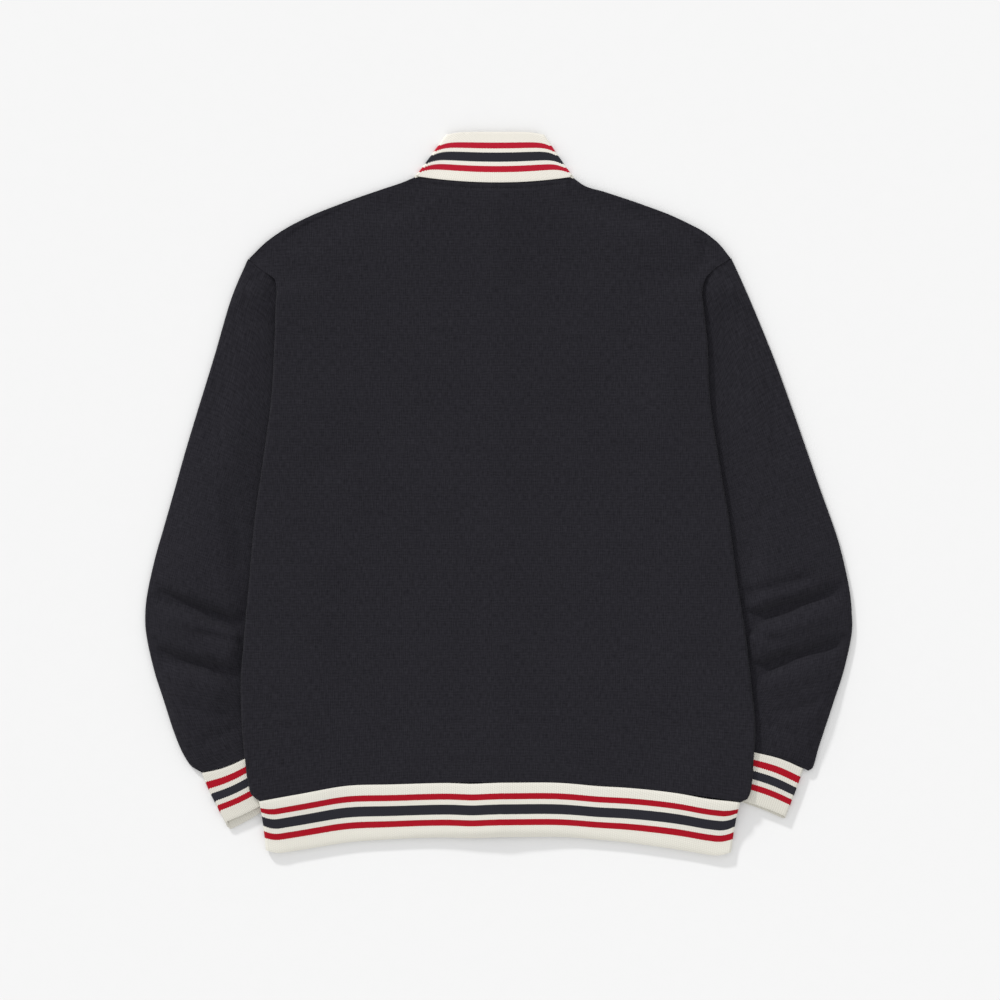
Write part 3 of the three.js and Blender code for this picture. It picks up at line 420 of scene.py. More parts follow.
# A fold with a negative depth stands up
BACK_FOLDS = [
    (1.8, 20, (-228, 254), (-200, 272), (-150, 284)),
    (1.7, 12, (-72, 317), (-100, 300), (-140, 290)),
    (2.0, 13, (68, 318), (92, 302), (125, 292), (170, 283)),
    (2.6, 6.5, (217, 272), (215.5, 252), (213.5, 232)),
    (1.3, 28, (10, 240), (38, 213), (60, 170)),
    (1.9, 24, (150, 60), (133, 3), (128, -50)),
    (1.8, 24, (-190, 50), (-177, -7), (-186, -70)),
    (2.0, 22, (-188, -130), (-165, -190), (-120, -250), (-93, -291)),
    (1.7, 22, (215, -150), (191, -212), (180, -270)),
    (-0.9, 20, (-120, 60), (-60, 0), (-40, -90)),
    (-0.9, 24, (60, -60), (90, -140), (80, -230)),
    (-0.8, 22, (-60, 150), (20, 110), (90, 120)),
]


def place_back(u, v):
    # The first rows are close together, for the neck stitches' groove
    mid = np.interp(v, [0, GROOVE_ROWS, 1], [NECK_Y, NECK_Y - GROOVE_Y, HEM_Y])
    share = np.abs(2 * u - 1)
    halves = [half_back(side, share, mid) for side in (LEFT, RIGHT)]
    x, y, z, cloth_x = [np.where(u < 0.5, a, b) for a, b in zip(*halves)]
    sign = np.where(u < 0.5, -1, 1)
    upper = 1 - smooth((share - FOLDS_FADE) / FADE_PART)
    z = z - fold_depth(x * sign, y, BACK_FOLDS) * upper
    z = z - 0.5 * bell((NECK_Y - mid) / 1.2)
    return np.stack([x * sign, y, z], 1), np.stack([cloth_x * sign, mid], 1) * MM


# %% The back panel
back = cloth("back_cloth", 200, 200, place_back, CLOTH)

# %% [markdown]
# ## The fronts
# Each front lies on the table from its shoulder to the hem band. It climbs onto the sleeve beside the
# armhole, because the sleeves are tucked in below the body, and stands up a little along the zip.

# %% Edges of a front
FRONT_NECK_Y = 249
ZIP_TOP_ROW = 0.3
UNDERARM_ROW = 0.42


def neck_curve(side, t):
    """The front neck seam, from the shoulder at 0 to the zip at 1."""
    x, y = side["neck"]
    return curve(x, x - 4, ZIP_X, t), curve(y, FRONT_NECK_Y, FRONT_NECK_Y, t)


def front_edges(side, v):
    """Outer and inner ends of the row at share v, from the neck down to the hem."""
    arm_top = side["arm"]["y"][0]
    neck_t = np.clip(v / ZIP_TOP_ROW, 0, 1)
    neck_x, neck_y = neck_curve(side, neck_t)
    zip_y = mix(FRONT_NECK_Y, HEM_Y, (v - ZIP_TOP_ROW) / (1 - ZIP_TOP_ROW))
    in_x = np.where(v < ZIP_TOP_ROW, neck_x, ZIP_X)
    in_y = np.where(v < ZIP_TOP_ROW, neck_y, zip_y)
    arm_y = mix(arm_top, UNDERARM_Y, v / UNDERARM_ROW)
    side_y = mix(UNDERARM_Y, side["strip"]["y"][-1], (v - UNDERARM_ROW) / (1 - UNDERARM_ROW))
    out_y = np.where(v < UNDERARM_ROW, arm_y, side_y)
    side_x = along(side["fold"], "y", "x", out_y) - along(side["strip"], "y", "width", out_y)
    arm_x = along(side["arm"], "y", "x", out_y)
    out_x = np.where(v < UNDERARM_ROW, arm_x, mix(side_x, arm_x, bell((out_y - UNDERARM_Y) / 6)))
    return out_x - SEAM_GAP, out_y, in_x, in_y


def front_placer(side):
    """The placing function of one front."""
    neck_x, neck_y = side["neck"]
    tip_x, tip_y = side["shoulder"]["x"][-1], side["shoulder"]["y"][-1]

    def place(u, v):
        out_x, out_y, in_x, in_y = front_edges(side, v)
        x = mix(out_x, in_x, u)
        y = mix(out_y, in_y, u)
        chord = mix(tip_y, neck_y, (tip_x - x) / (tip_x - neck_x))
        bulge = along(side["shoulder"], "x", "y", np.clip(x, neck_x, tip_x)) - chord
        y = y + bulge * np.clip(1 - v / ZIP_TOP_ROW, 0, 1) ** 2 * ((u > 0) & (u < 1))
        straight_hem = mix(side["strip"]["y"][-1], HEM_Y, u)
        y = y + smooth((v - 0.8) / 0.2) * (hem_seam(side, x) - straight_hem)
        z = front_height(side, x, y)
        return np.stack([x * side["sign"], y, z], 1), np.stack([x * side["sign"], y], 1) * MM
    return place


# %% The two fronts
fronts = {name: cloth("front_cloth_" + name, 72, 150, front_placer(side), CLOTH)
          for name, side in SIDES.items()}

# %% [markdown]
# ## The sleeves
# A sleeve is a tube pressed flat. Each row of its grid goes round it once: over the soft outer edge, across
# the upper side, round the hidden edge under the body, and back along the table. The upper side stands a
# few millimetres above the lower one, and the bent elbow presses two long folds into it.

# %% A tube pressed flat
def middle_run(rows):
    """How far along the middle of a tube each of its rows lies."""
    mid_x, mid_y = (rows["out_x"] + rows["in_x"]) / 2, (rows["out_y"] + rows["in_y"]) / 2
    return np.concatenate([[0], np.cumsum(np.hypot(np.diff(mid_x), np.diff(mid_y)))])


def flat_ring(u, turn):
    """Once round a flat tube whose edges each take the share turn of the way.

    It gives the share of the way across, whether that is on a turned edge, and how far out and up the
    edge is there, for a radius of 1.
    """
    upper = np.clip((u - turn) / (0.5 - turn), 0, 1)
    lower = np.clip((u - (0.5 + turn)) / (0.5 - turn), 0, 1)
    across = np.where(u < 0.5 + turn, upper, 1 - lower)
    turning = (u < turn) | ((u > 0.5) & (u < 0.5 + turn))
    half_turn = np.where(u < 0.25, np.clip(u / turn, 0, 1), 1 - np.clip((u - 0.5) / turn, 0, 1))
    angle = half_turn * math.pi - math.pi / 2
    out = np.where(turning, np.cos(angle), 0) * np.where(u < 0.25, 1, -1)
    return across, turning, out, 1 + np.sin(angle)


# %% The armhole seam, as a way off the straight line between its ends
def armhole(side, share):
    """How far the armhole stands off that line at each share of its length."""
    y = np.linspace(side["arm"]["y"][0], UNDERARM_Y, 80)
    x = along(side["arm"], "y", "x", y)
    step = np.hypot(np.diff(x), np.diff(y))
    run = np.concatenate([[0], np.cumsum(step)]) / step.sum()
    return (np.interp(share, run, x - mix(x[0], x[-1], run)),
            np.interp(share, run, y - mix(y[0], y[-1], run)))


SLEEVE_FOLDS = {
    "left": [
        (8.6, 8, (-372, -101), (-329, -117), (-306, -126), (-284, -135), (-225, -158)),
        (2.4, 5.5, (-325, -144), (-290, -151), (-225, -166)),
        (8.4, 8, (-370, -164), (-329, -177), (-302, -183), (-276, -193), (-225, -217)),
        (4, 9, (-312, -124), (-284, -136), (-236, -152)),
        (4, 9, (-306, -182), (-276, -193), (-236, -209)),
        (-2.2, 8, (-352, -132), (-306, -141), (-250, -154)),
        (-1.6, 10, (-345, -194), (-305, -203), (-260, -220)),
        (1.8, 12, (-300, 140), (-296, 90), (-302, 30)),
        (1.7, 8, (-290, 10), (-275, -40), (-272, -90)),
        (3.0, 7, (-269, 234), (-257, 224), (-246, 214), (-237, 196)),
        (2.0, 7, (-345, -218), (-310, -228), (-278, -238)),
        (1.4, 6, (-320, -264), (-290, -254), (-268, -242)),
    ],
    "right": [
        (3.2, 7, (340, -85), (298, -96), (240, -112)),
        (8.4, 8, (372, -98), (338, -108), (314, -117), (292, -124), (225, -149)),
        (3.6, 6, (300, -158), (276, -149), (235, -128)),
        (8.2, 8, (372, -154), (333, -165), (309, -172), (288, -180), (225, -214)),
        (4, 9, (318, -117), (292, -125), (240, -142)),
        (4, 9, (314, -171), (288, -180), (240, -200)),
        (-2.2, 8, (356, -127), (316, -139), (262, -156)),
        (-1.6, 10, (350, -184), (316, -193), (270, -211)),
        (1.8, 12, (292, 130), (290, 80), (300, 20)),
        (1.7, 8, (282, 0), (272, -40), (270, -80)),
        (2.0, 7, (350, -214), (318, -224), (284, -232)),
        (1.4, 6, (326, -260), (300, -250), (276, -240)),
    ],
}


# %% Points of a sleeve
TUCKED_SEAM = 2.4
SLEEVE_TURN = 0.05
ELBOW_Y, FOREARM_Y = -155, -165
DEEPEST = -0.8


def sleeve_placer(name, side):
    """The placing function of one sleeve."""
    rows, folds = side["sleeve"], SLEEVE_FOLDS[name]
    run = middle_run(rows)
    radius = PLY / 2

    def place(u, v):
        below_seam = v * run[-1]
        row = np.interp(below_seam, run, rows["row"])
        out_x, out_y, in_x, in_y, bend, loft = [
            along(rows, "row", column, row) for column in "out_x out_y in_x in_y bend loft".split()]
        width = np.hypot(out_x - in_x, out_y - in_y)
        inset = radius / width
        across, turning, out, rise = flat_ring(u, SLEEVE_TURN)
        from_edge = across * width
        t = mix(inset, 1 - inset, across)
        off_x, off_y = armhole(side, across)
        x = mix(out_x, in_x, t) + bend * off_x
        y = mix(out_y, in_y, t) + bend * off_y
        y = y + cuff_seam(side, across) * smooth((below_seam - run[-1] + 25) / 25)
        # The first rows are tucked in below the back, less so at the shoulder's tip
        tucked = TUCKED_SEAM * np.clip(1 - below_seam / 12, 0, 1) * mix(0.3, 1, smooth(from_edge / 10))
        x, y = x - tucked * 0.6, y + tucked * 0.8
        # Clear of the body the upper side stands up, sooner at the elbow and rounder below it
        clear = x - along(side["fold"], "y", "x", np.minimum(y, FOLD_TOP))
        free = smooth(clear / mix(44, 16, bell((y - ELBOW_Y) / 60)))
        puff = smooth((FOREARM_Y - y) / 60)
        shoulder_width, roundness = mix(48, 26, puff), mix(1.8, 3, puff)
        lofted = loft * free * (1 - (1 - np.clip(from_edge / shoulder_width, 0, 1)) ** roundness)
        # At the armhole it meets the back's height, and it dips where the seam goes under the body
        seam_dip = 0.7 * np.clip(1 - below_seam / 5, 0, 1) * (1 - smooth(clear / 9))
        seam_step = mix(side["seam_step"], 0, smooth(below_seam / 5))
        sewn = back_height(side, x, y) - seam_step - FLOOR - PLY
        lofted = lofted + np.maximum(sewn, 0) * smooth(1 - below_seam / 34) * smooth(clear / 17)
        # The folds sink into it, but not through the lower side
        sunk = fold_depth(x * side["sign"], y, folds) * smooth(from_edge / 14) * smooth(below_seam / 9)
        high = FLOOR + PLY - seam_dip + np.maximum(lofted - sunk * smooth((clear + 4) / 8), DEEPEST)
        reach = radius * out
        x = x + reach * (out_x - in_x) / width
        y = y + reach * (out_y - in_y) / width
        z = np.where(turning, FLOOR + radius * rise, np.where(u <= 0.5, high, FLOOR))
        round_way = np.where(u < 0.5 + SLEEVE_TURN / 2, across, -across) * width
        return np.stack([x * side["sign"], y, z], 1), np.stack([round_way, below_seam], 1) * MM
    return place


# %% The two sleeves
sleeves = {name: cloth("sleeve_cloth_" + name, 104, 240, sleeve_placer(name, side), CLOTH, closed=True)
           for name, side in SIDES.items()}

# %% [markdown]
# ## The ribs
# Collar, cuffs and hem band are rib knit, which has straight ridges that run away from the seam. The
# ridges are real here: every ridge has five columns of the grid, so light and shadow fall on them. The
# pattern map counts ridges one way and millimetres from the seam the other, for the stripes.

# %% Rib ridges
RIB_COLUMNS = 5
RIB_DEPTH = 0.12
RIB_FLOOR = RIB / 2 + RIB_DEPTH


def ridge(count):
    """Height of the knit at a number of ridges from the start."""
    return RIB_DEPTH * np.cos(2 * math.pi * count)


def band_placer(half, ribs, depth):
    """The placing function of a band whose points come from half(side, share, v) on either side."""
    def place(u, v):
        share = np.abs(2 * u - 1)
        x, y, z = [np.where(u < 0.5, a, b) for a, b in zip(half(LEFT, share, v), half(RIGHT, share, v))]
        sign = np.where(u < 0.5, -1, 1)
        return np.stack([x * sign, y, z], 1), np.stack([share * ribs * sign, depth * v], 1)
    return place


# %% Points of the hem band
HEM_RIBS, HEM_DEPTH = 216, 56
BAND_RADIUS = 1.6
UPPER_PART, HEM_TURN, LOWER_START, LOWER_PART = 0.5, 0.014, 0.514, 0.486


def half_hem(side, share, v):
    """Points of one half of the band. share runs from 0 behind, round the side, to 1 at the zip."""
    def on_sleeve(x):
        end_y = np.full_like(x, side["strip"]["y"][-1])
        return 2 * PLY * over_sleeve(side, x, end_y, FRONT_RAMP) * (1 - smooth(v / 0.9))

    edge = mix(side["fold"]["x"][-1], HEM_BOTTOM_X, v)
    radius = mix(FOLD_RADIUS, BAND_RADIUS, smooth(v / 0.5))
    upper = np.clip(share / UPPER_PART, 0, 1)
    roll = np.clip((share - UPPER_PART) / HEM_TURN, 0, 1)
    lower = np.clip((share - LOWER_START) / LOWER_PART, 0, 1)
    x = (edge - radius) * upper * (1 - lower) + ZIP_X * lower + radius * np.sin(math.pi * roll)
    # The band bows up at its side folds, hangs lower near them, and is shorter underneath
    seam_y = hem_seam(side, x)
    bottom_y = HEM_BOTTOM_Y - HEM_BOTTOM_DROP * np.clip(x / HEM_BOTTOM_X, 0, 1) ** 2.5
    bow = (22 * v * (1 - v) + 5 * v ** 8) * np.clip((x - edge + 17) / 17, 0, 1) ** 2
    y = bow + mix(seam_y - SEAM_GAP, bottom_y, v)
    y = y + hem_wave(side, x) * 0.8 * v - side["hem_lip"] * smooth((x - 80) / 120) * v ** 4
    y = y + 3.2 * lower * v ** 8
    # Its upper side comes down from the back's height, and lies over the zip's box in the middle
    over_zip = 0.8 * bell(x / 14) + 3.0 * bell(x / 75)
    end_z = FLOOR + PLY + 0.8 + over_zip - (0.9 + 0.8 * over_zip) * smooth((v - 0.92) / 0.08)
    fold_z = RIB_FLOOR + on_sleeve(edge) + 2 * radius
    up_z = mix(back_height(side, x, seam_y), end_z, smooth(v * 1.05))
    up_z = mix(up_z, fold_z, smooth((x - 200) / (edge - 200)) ** 2)
    turn_z = fold_z - radius * (1 - np.cos(math.pi * roll))
    low_z = RIB_FLOOR + zip_rise(x) + on_sleeve(x)
    where = [share <= UPPER_PART, share < LOWER_START]
    rib = ridge(share * HEM_RIBS)
    x = x + rib * np.select(where, [0, np.sin(math.pi * roll)], 0)
    z = np.select(where, [up_z, turn_z], low_z) + rib * np.select(where, [1, np.cos(math.pi * roll)], -1)
    return x, y, z


# %% The hem band
hem = cloth("hem_knit", 2 * HEM_RIBS * RIB_COLUMNS, 14, band_placer(half_hem, HEM_RIBS, HEM_DEPTH), RIB)

# %% Points of the collar
COLLAR_RIBS, COLLAR_DEPTH = 100, 53.3
COLLAR_RADIUS = 1.7
COLLAR_GAP = 0.4
COLLAR_TOP_Y = 379
FRONT_TOP_Y, FRONT_PULL = 302, 17
BACK_SHARE, ROLL_SHARE = 0.37, 0.022


def half_collar(side, share, v):
    """Points of one half. share runs from 0 behind, round the corner of the neck, to 1 at the zip."""
    neck_x, neck_y = side["neck"]
    top_x, top_y = side["collar_top"]
    low_end, high_end = neck_x - COLLAR_RADIUS, top_x - COLLAR_RADIUS
    behind = np.clip(share / BACK_SHARE, 0, 1)
    roll = np.clip((share - BACK_SHARE) / ROLL_SHARE, 0, 1)
    before = np.clip((share - BACK_SHARE - ROLL_SHARE) / (1 - BACK_SHARE - ROLL_SHARE), 0, 1)
    # Its slanted ends droop between the seam and the top
    droop = 4.9 * np.sin(math.pi * v ** 0.6) * behind ** 12
    lean_out = (neck_x - top_x) / (top_y - neck_y)
    # Behind the neck
    low_x = low_end * behind
    low_y = neck_seam(side, low_x) + COLLAR_GAP
    middle = (RIGHT["collar_top"][0] - LEFT["collar_top"][0]) / 2 * side["sign"]
    high_x = mix(middle, high_end, behind)
    high_y = COLLAR_TOP_Y - (COLLAR_TOP_Y - top_y) * behind ** 6
    roll_z = RIB_FLOOR + 2 * COLLAR_RADIUS
    low_z = mix(back_height(side, low_x, low_y), roll_z, behind ** 6)
    high_z = roll_z + 1.4 * (1 - behind ** 4)
    back_x, back_y = mix(low_x, high_x, v) + droop * lean_out, mix(low_y, high_y, v) - droop
    back_z = mix(low_z, high_z, smooth(v))
    # In front, underneath, along the front neck seam
    seam_x, seam_y = neck_curve(side, before)
    end_x = curve(high_end, top_x - FRONT_PULL, ZIP_X, before)
    end_y = curve(top_y, FRONT_TOP_Y, FRONT_TOP_Y, before)
    fading = droop * (1 - before) ** 12
    front_x = mix(seam_x - COLLAR_RADIUS * (1 - before), end_x, v) + fading * lean_out
    front_y = mix(seam_y + 0.6 * before, end_y, v) - fading
    front_z = RIB_FLOOR + zip_rise(front_x)
    # The roll between them
    out, up = np.sin(math.pi * roll), np.cos(math.pi * roll)
    turn_x = mix(low_end, high_end, v) + COLLAR_RADIUS * out + droop * lean_out
    turn_y = mix(neck_y + COLLAR_GAP, top_y, v) - droop - 0.38 * droop * out
    turn_z = RIB_FLOOR + COLLAR_RADIUS * (1 + up)
    where = [share <= BACK_SHARE, share < BACK_SHARE + ROLL_SHARE]
    rib = ridge(share * COLLAR_RIBS)
    x = np.select(where, [back_x, turn_x], front_x) + rib * np.select(where, [0, out], 0)
    y = np.select(where, [back_y, turn_y], front_y)
    z = np.select(where, [back_z, turn_z], front_z) + rib * np.select(where, [1, up], -1)
    return x, y, z


# %% The collar
collar = cloth("collar_knit", 2 * COLLAR_RIBS * RIB_COLUMNS, 18,
               band_placer(half_collar, COLLAR_RIBS, COLLAR_DEPTH), RIB)

# %% Points of a cuff
CUFF_RIBS, CUFF_DEPTH = 78, 52
CUFF_TURN = 0.03


def cuff_placer(side):
    """The placing function of one cuff."""
    rows = side["cuff"]
    run = middle_run(rows)
    radius = BAND_RADIUS

    def place(u, v):
        row = np.interp(v * run[-1], run, rows["row"])
        out_x, out_y, in_x, in_y, reach = [
            along(rows, "row", column, row) for column in "out_x out_y in_x in_y reach".split()]
        width = np.hypot(out_x - in_x, out_y - in_y)
        inset = radius / width
        across, turning, out, rise = flat_ring(u, CUFF_TURN)
        upper_side = np.where(u <= 0.5, 1, 0)
        level = np.where(turning, rise / 2, upper_side)
        t = mix(inset, 1 - inset, across)
        rib = ridge(u * CUFF_RIBS)
        side_way = radius * out * (1 + rib / radius)
        # The lower side reaches past the upper one
        axis_x, axis_y = (in_y - out_y) / width, (out_x - in_x) / width
        past = reach * (1 - 0.65 * across) * (1 - level)
        wave = cuff_seam(side, across) * (1 - 0.5 * v)
        x = mix(out_x, in_x, t) + side_way * (out_x - in_x) / width - axis_x * past
        y = mix(out_y, in_y, t) + side_way * (out_y - in_y) / width - axis_y * past + wave
        # The upper side bulges in the middle
        bulge = 0.8 * upper_side * smooth(across * 4) * smooth((1 - across) * 4) * bell((v - 0.4) / 0.5)
        z = RIB_FLOOR + 2 * radius * level + rib * (2 * level - 1) + bulge
        return np.stack([x * side["sign"], y, z], 1), np.stack([u * CUFF_RIBS, CUFF_DEPTH * v], 1)
    return place


# %% The two cuffs
cuffs = {name: cloth("cuff_knit_" + name, CUFF_RIBS * RIB_COLUMNS, 16, cuff_placer(side), RIB, True)
         for name, side in SIDES.items()}

# %% [markdown]
# ## The zip
# The zip lies underneath, between the two fronts. Each tape is a narrow woven strip, and its teeth are one
# small rounded block repeated along the edge. The teeth of the two sides stand half a step apart, so they
# interlock. The slider, its pull and the box at the foot are the measured model's own metal parts.

# %% Places along the zip
tape_low, tape_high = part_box("zip_tape_left")
slider_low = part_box("zip_slider")[0]
ZIP_Z = (tape_low[2] + tape_high[2]) / 2 / MM
ZIP_FOOT, ZIP_HEAD = tape_low[1] / MM, tape_high[1] / MM
TEETH_TOP = slider_low[1] / MM - 0.6
TEETH_STEP = 3.0
FIRST_TOOTH = 2
TOOTH_X = 1.25
TAPE_SIDES = 2.2, 14.8
TAPE_SHORT = 0.3
print("zip runs from", round(ZIP_FOOT, 1), "to", round(ZIP_HEAD, 1), "mm")


# %% Tapes
def tape_placer(sign):
    """The placing function of one tape."""
    def place(u, v):
        x = mix(*TAPE_SIDES, u)
        y = mix(ZIP_FOOT + TAPE_SHORT, ZIP_HEAD - TAPE_SHORT, v)
        z = ZIP_Z + 0.12 * np.sin(y / 31) * u
        return np.stack([sign * x, y, z], 1), np.stack([x, y], 1) * MM
    return place


tapes = {name: cloth("zip_strip_" + name, 6, 120, tape_placer(side["sign"]), 0.8)
         for name, side in SIDES.items()}


# %% Teeth
def repeated(name, block, places):
    """One mesh that holds a copy of the small block at every place."""
    bm = bmesh.new()
    for place in places:
        before = len(bm.verts)
        bm.from_mesh(block)
        bm.verts.ensure_lookup_table()
        bmesh.ops.transform(bm, matrix=Matrix(place.tolist()), verts=bm.verts[before:])
    print(name, "has", len(places), "copies")
    return new_piece(name, bm)


def small_block(name, size, edge):
    """A block with softened edges, as a mesh that repeated() can copy."""
    bm = bmesh.new()
    bmesh.ops.create_cube(bm, size=1)
    bmesh.ops.scale(bm, vec=Vector(size) * MM, verts=bm.verts)
    bmesh.ops.bevel(bm, geom=bm.edges[:], offset=edge * MM, segments=1, profile=0.5, affect="EDGES",
                    material=-1)
    mesh = bpy.data.meshes.new(name)
    bm.to_mesh(mesh)
    bm.free()
    return mesh


tooth = small_block("tooth", (3.1, 1.35, 2.1), 0.32)
teeth = {}
for name, side in SIDES.items():
    first = ZIP_FOOT + FIRST_TOOTH + (TEETH_STEP / 2 if name == "left" else 0)
    places = []
    for y in np.arange(first, TEETH_TOP, TEETH_STEP):
        place = np.eye(4)
        place[:3, 3] = np.array([side["sign"] * TOOTH_X, y, ZIP_Z]) * MM
        places.append(place)
    teeth[name] = repeated("zip_teeth_" + name, tooth, places)

# %% [markdown]
# ## Stitches
# The neck seam is held down by a row of stitches on the back, and each front has one beside the zip. A
# stitch is a short rounded thread that is half sunk in the cloth, and one small block makes them all.

# %% A stitch and its rows
thread = small_block("thread", (2.1, 0.62, 0.5), 0.2)
SUNK = 0.75
NECK_STITCH_ENDS = -79, 71
STITCH_X = ZIP_X + 5


def stitch_row(line, step=3.0):
    """Places of stitches along a line of points, each turned to follow it."""
    line = np.array(line)
    run = np.concatenate([[0], np.cumsum(np.linalg.norm(np.diff(line, axis=0), axis=1))])
    places = []
    for at in np.arange(step / 2, run[-1], step):
        here = np.array([np.interp(at, run, line[:, k]) for k in range(3)])
        ahead = np.array([np.interp(at + 0.5, run, line[:, k]) for k in range(3)])
        way = (ahead - here) / max(np.linalg.norm(ahead - here), 1e-6)
        side_way = np.cross((0, 0, 1), way)
        side_way /= np.linalg.norm(side_way)
        place = np.eye(4)
        place[:3, 0], place[:3, 1], place[:3, 2] = way, side_way, np.cross(way, side_way)
        place[:3, 3] = here * MM
        places.append(place)
    return places


def back_point(x, below_neck):
    """A point of the back's upper face, this far below the neck seam."""
    side = LEFT if x < 0 else RIGHT
    y = neck_seam(side, abs(x)) - below_neck
    z = back_height(side, np.array([abs(x)]), np.array([y]))[0] + CLOTH / 2 - SUNK
    return (x, y, z)


neck_line = [back_point(x, NECK_STITCH) for x in np.linspace(*NECK_STITCH_ENDS, 60)]
neck_stitches = repeated("neck_stitches", thread, stitch_row(neck_line))
front_stitches = {}
for name, side in SIDES.items():
    line = []
    for y in np.linspace(FRONT_NECK_Y - 5, HEM_Y + 3, 60):
        z = front_height(side, np.array([STITCH_X]), np.array([y]))[0] - CLOTH / 2
        line.append((side["sign"] * STITCH_X, y, z))
    front_stitches[name] = repeated("front_stitches_" + name, thread, stitch_row(line))

# %% [markdown]
# ## Finishes
# The body is a fine dark knit. Its loops are too small to model, so the material makes them: waves across
# and along the cloth for the loops, and a stretched noise for yarn that is not all one shade. The ribs
# take their stripes from the distance to the seam, and each ridge shifts the stripe's edge a little, as the
# change of yarn does in a real rib. Their grooves are darkened with painted shade.


# %% Node helpers
def new_material(name, roughness, specular):
    """A material with its shader set, and short ways to add nodes to it."""
    material = bpy.data.materials.new(name)
    material.use_nodes = True
    nodes, links = material.node_tree.nodes, material.node_tree.links
    shader = nodes["Principled BSDF"]
    shader.inputs["Roughness"].default_value = roughness
    shader.inputs["Specular IOR Level"].default_value = specular

    def put(kind, inputs=None, **settings):
        node = nodes.new(kind)
        for key, value in settings.items():
            setattr(node, key, value)
        for key, value in (inputs or {}).items():
            if isinstance(value, bpy.types.NodeSocket):
                links.new(value, node.inputs[key])
            else:
                node.inputs[key].default_value = value
        return node.outputs[0]

    def work(operation, a, b=0.0):
        return put("ShaderNodeMath", {0: a, 1: b}, operation=operation)

    def finish(colour, height, distance):
        links.new(colour, shader.inputs["Base Color"])
        bump = put("ShaderNodeBump", {"Height": height, "Distance": distance, "Strength": 0.7})
        links.new(bump, shader.inputs["Normal"])
        return material

    return put, work, finish, shader, nodes


def split_map(put, nodes):
    """The two numbers of the piece's own pattern map."""
    pattern = put("ShaderNodeUVMap", uv_map="cloth")
    parts = nodes[put("ShaderNodeSeparateXYZ", {0: pattern}).node.name]
    return pattern, parts.outputs[0], parts.outputs[1]


def shades(put, amount, dark, pale):
    """A colour between dark and pale."""
    return put("ShaderNodeMix", {0: amount, 6: dark, 7: pale}, data_type="RGBA").node.outputs[2]


# %% Body knit
def body_knit(name, dark, pale):
    """A fine knit of marled yarn, on the piece's own pattern map."""
    put, work, finish, shader, nodes = new_material(name, 0.9, 0.06)
    pattern, across, down = split_map(put, nodes)
    wale = work("SINE", work("MULTIPLY", across, 2 * math.pi / 0.0022))
    course = work("SINE", work("MULTIPLY", down, 2 * math.pi / 0.0032))
    wide = put("ShaderNodeMapping", {0: pattern, 3: (170, 900, 1)})
    tall = put("ShaderNodeMapping", {0: pattern, 3: (950, 120, 1)})
    wide_yarn = put("ShaderNodeTexNoise", {"Vector": wide, "Scale": 1.0, "Detail": 1.0})
    tall_yarn = put("ShaderNodeTexNoise", {"Vector": tall, "Scale": 1.0, "Detail": 1.0})
    yarn = work("ADD", work("MULTIPLY", wide_yarn, 0.45), work("MULTIPLY", tall_yarn, 0.55))
    loops = work("ADD", work("MULTIPLY", wale, 0.55), work("MULTIPLY", course, 0.45))
    cloudy = put("ShaderNodeTexNoise", {"Vector": pattern, "Scale": 14.0, "Detail": 3.0})
    marl = work("ADD", work("MULTIPLY", loops, 0.2), work("MULTIPLY", work("SUBTRACT", yarn, 0.5), 2.9))
    marl = work("ADD", marl, work("MULTIPLY", work("SUBTRACT", cloudy, 0.5), 0.25))
    amount = put("ShaderNodeMapRange", {0: marl, 1: -0.6, 2: 0.6})
    height = work("ADD", work("ADD", work("MULTIPLY", wale, 0.3), work("MULTIPLY", course, 0.3)), yarn)
    shader.inputs["Sheen Weight"].default_value = 0.05
    shader.inputs["Sheen Roughness"].default_value = 0.5
    return finish(shades(put, amount, dark, pale), height, 0.12 * MM)


navy_knit = body_knit("navy knit", (0.0095, 0.0090, 0.0118, 1), (0.0216, 0.0207, 0.0260, 1))

# %% Striped rib
CREAM = (0.715, 0.695, 0.625, 1)
# The cuffs' cream is the hem's cream made darker as painted shade, for the shade that lies on the turned
# cuffs
PALE_CREAM, CUFF_CREAM_WITH_PAINTED_SHADE = (0.765, 0.735, 0.665, 1), (0.648, 0.628, 0.563, 1)
RED, BRIGHT_RED = (0.350, 0.006, 0.016, 1), (0.425, 0.012, 0.029, 1)
NAVY = (0.0225, 0.0225, 0.0290, 1)
RAMP_SPAN = 60


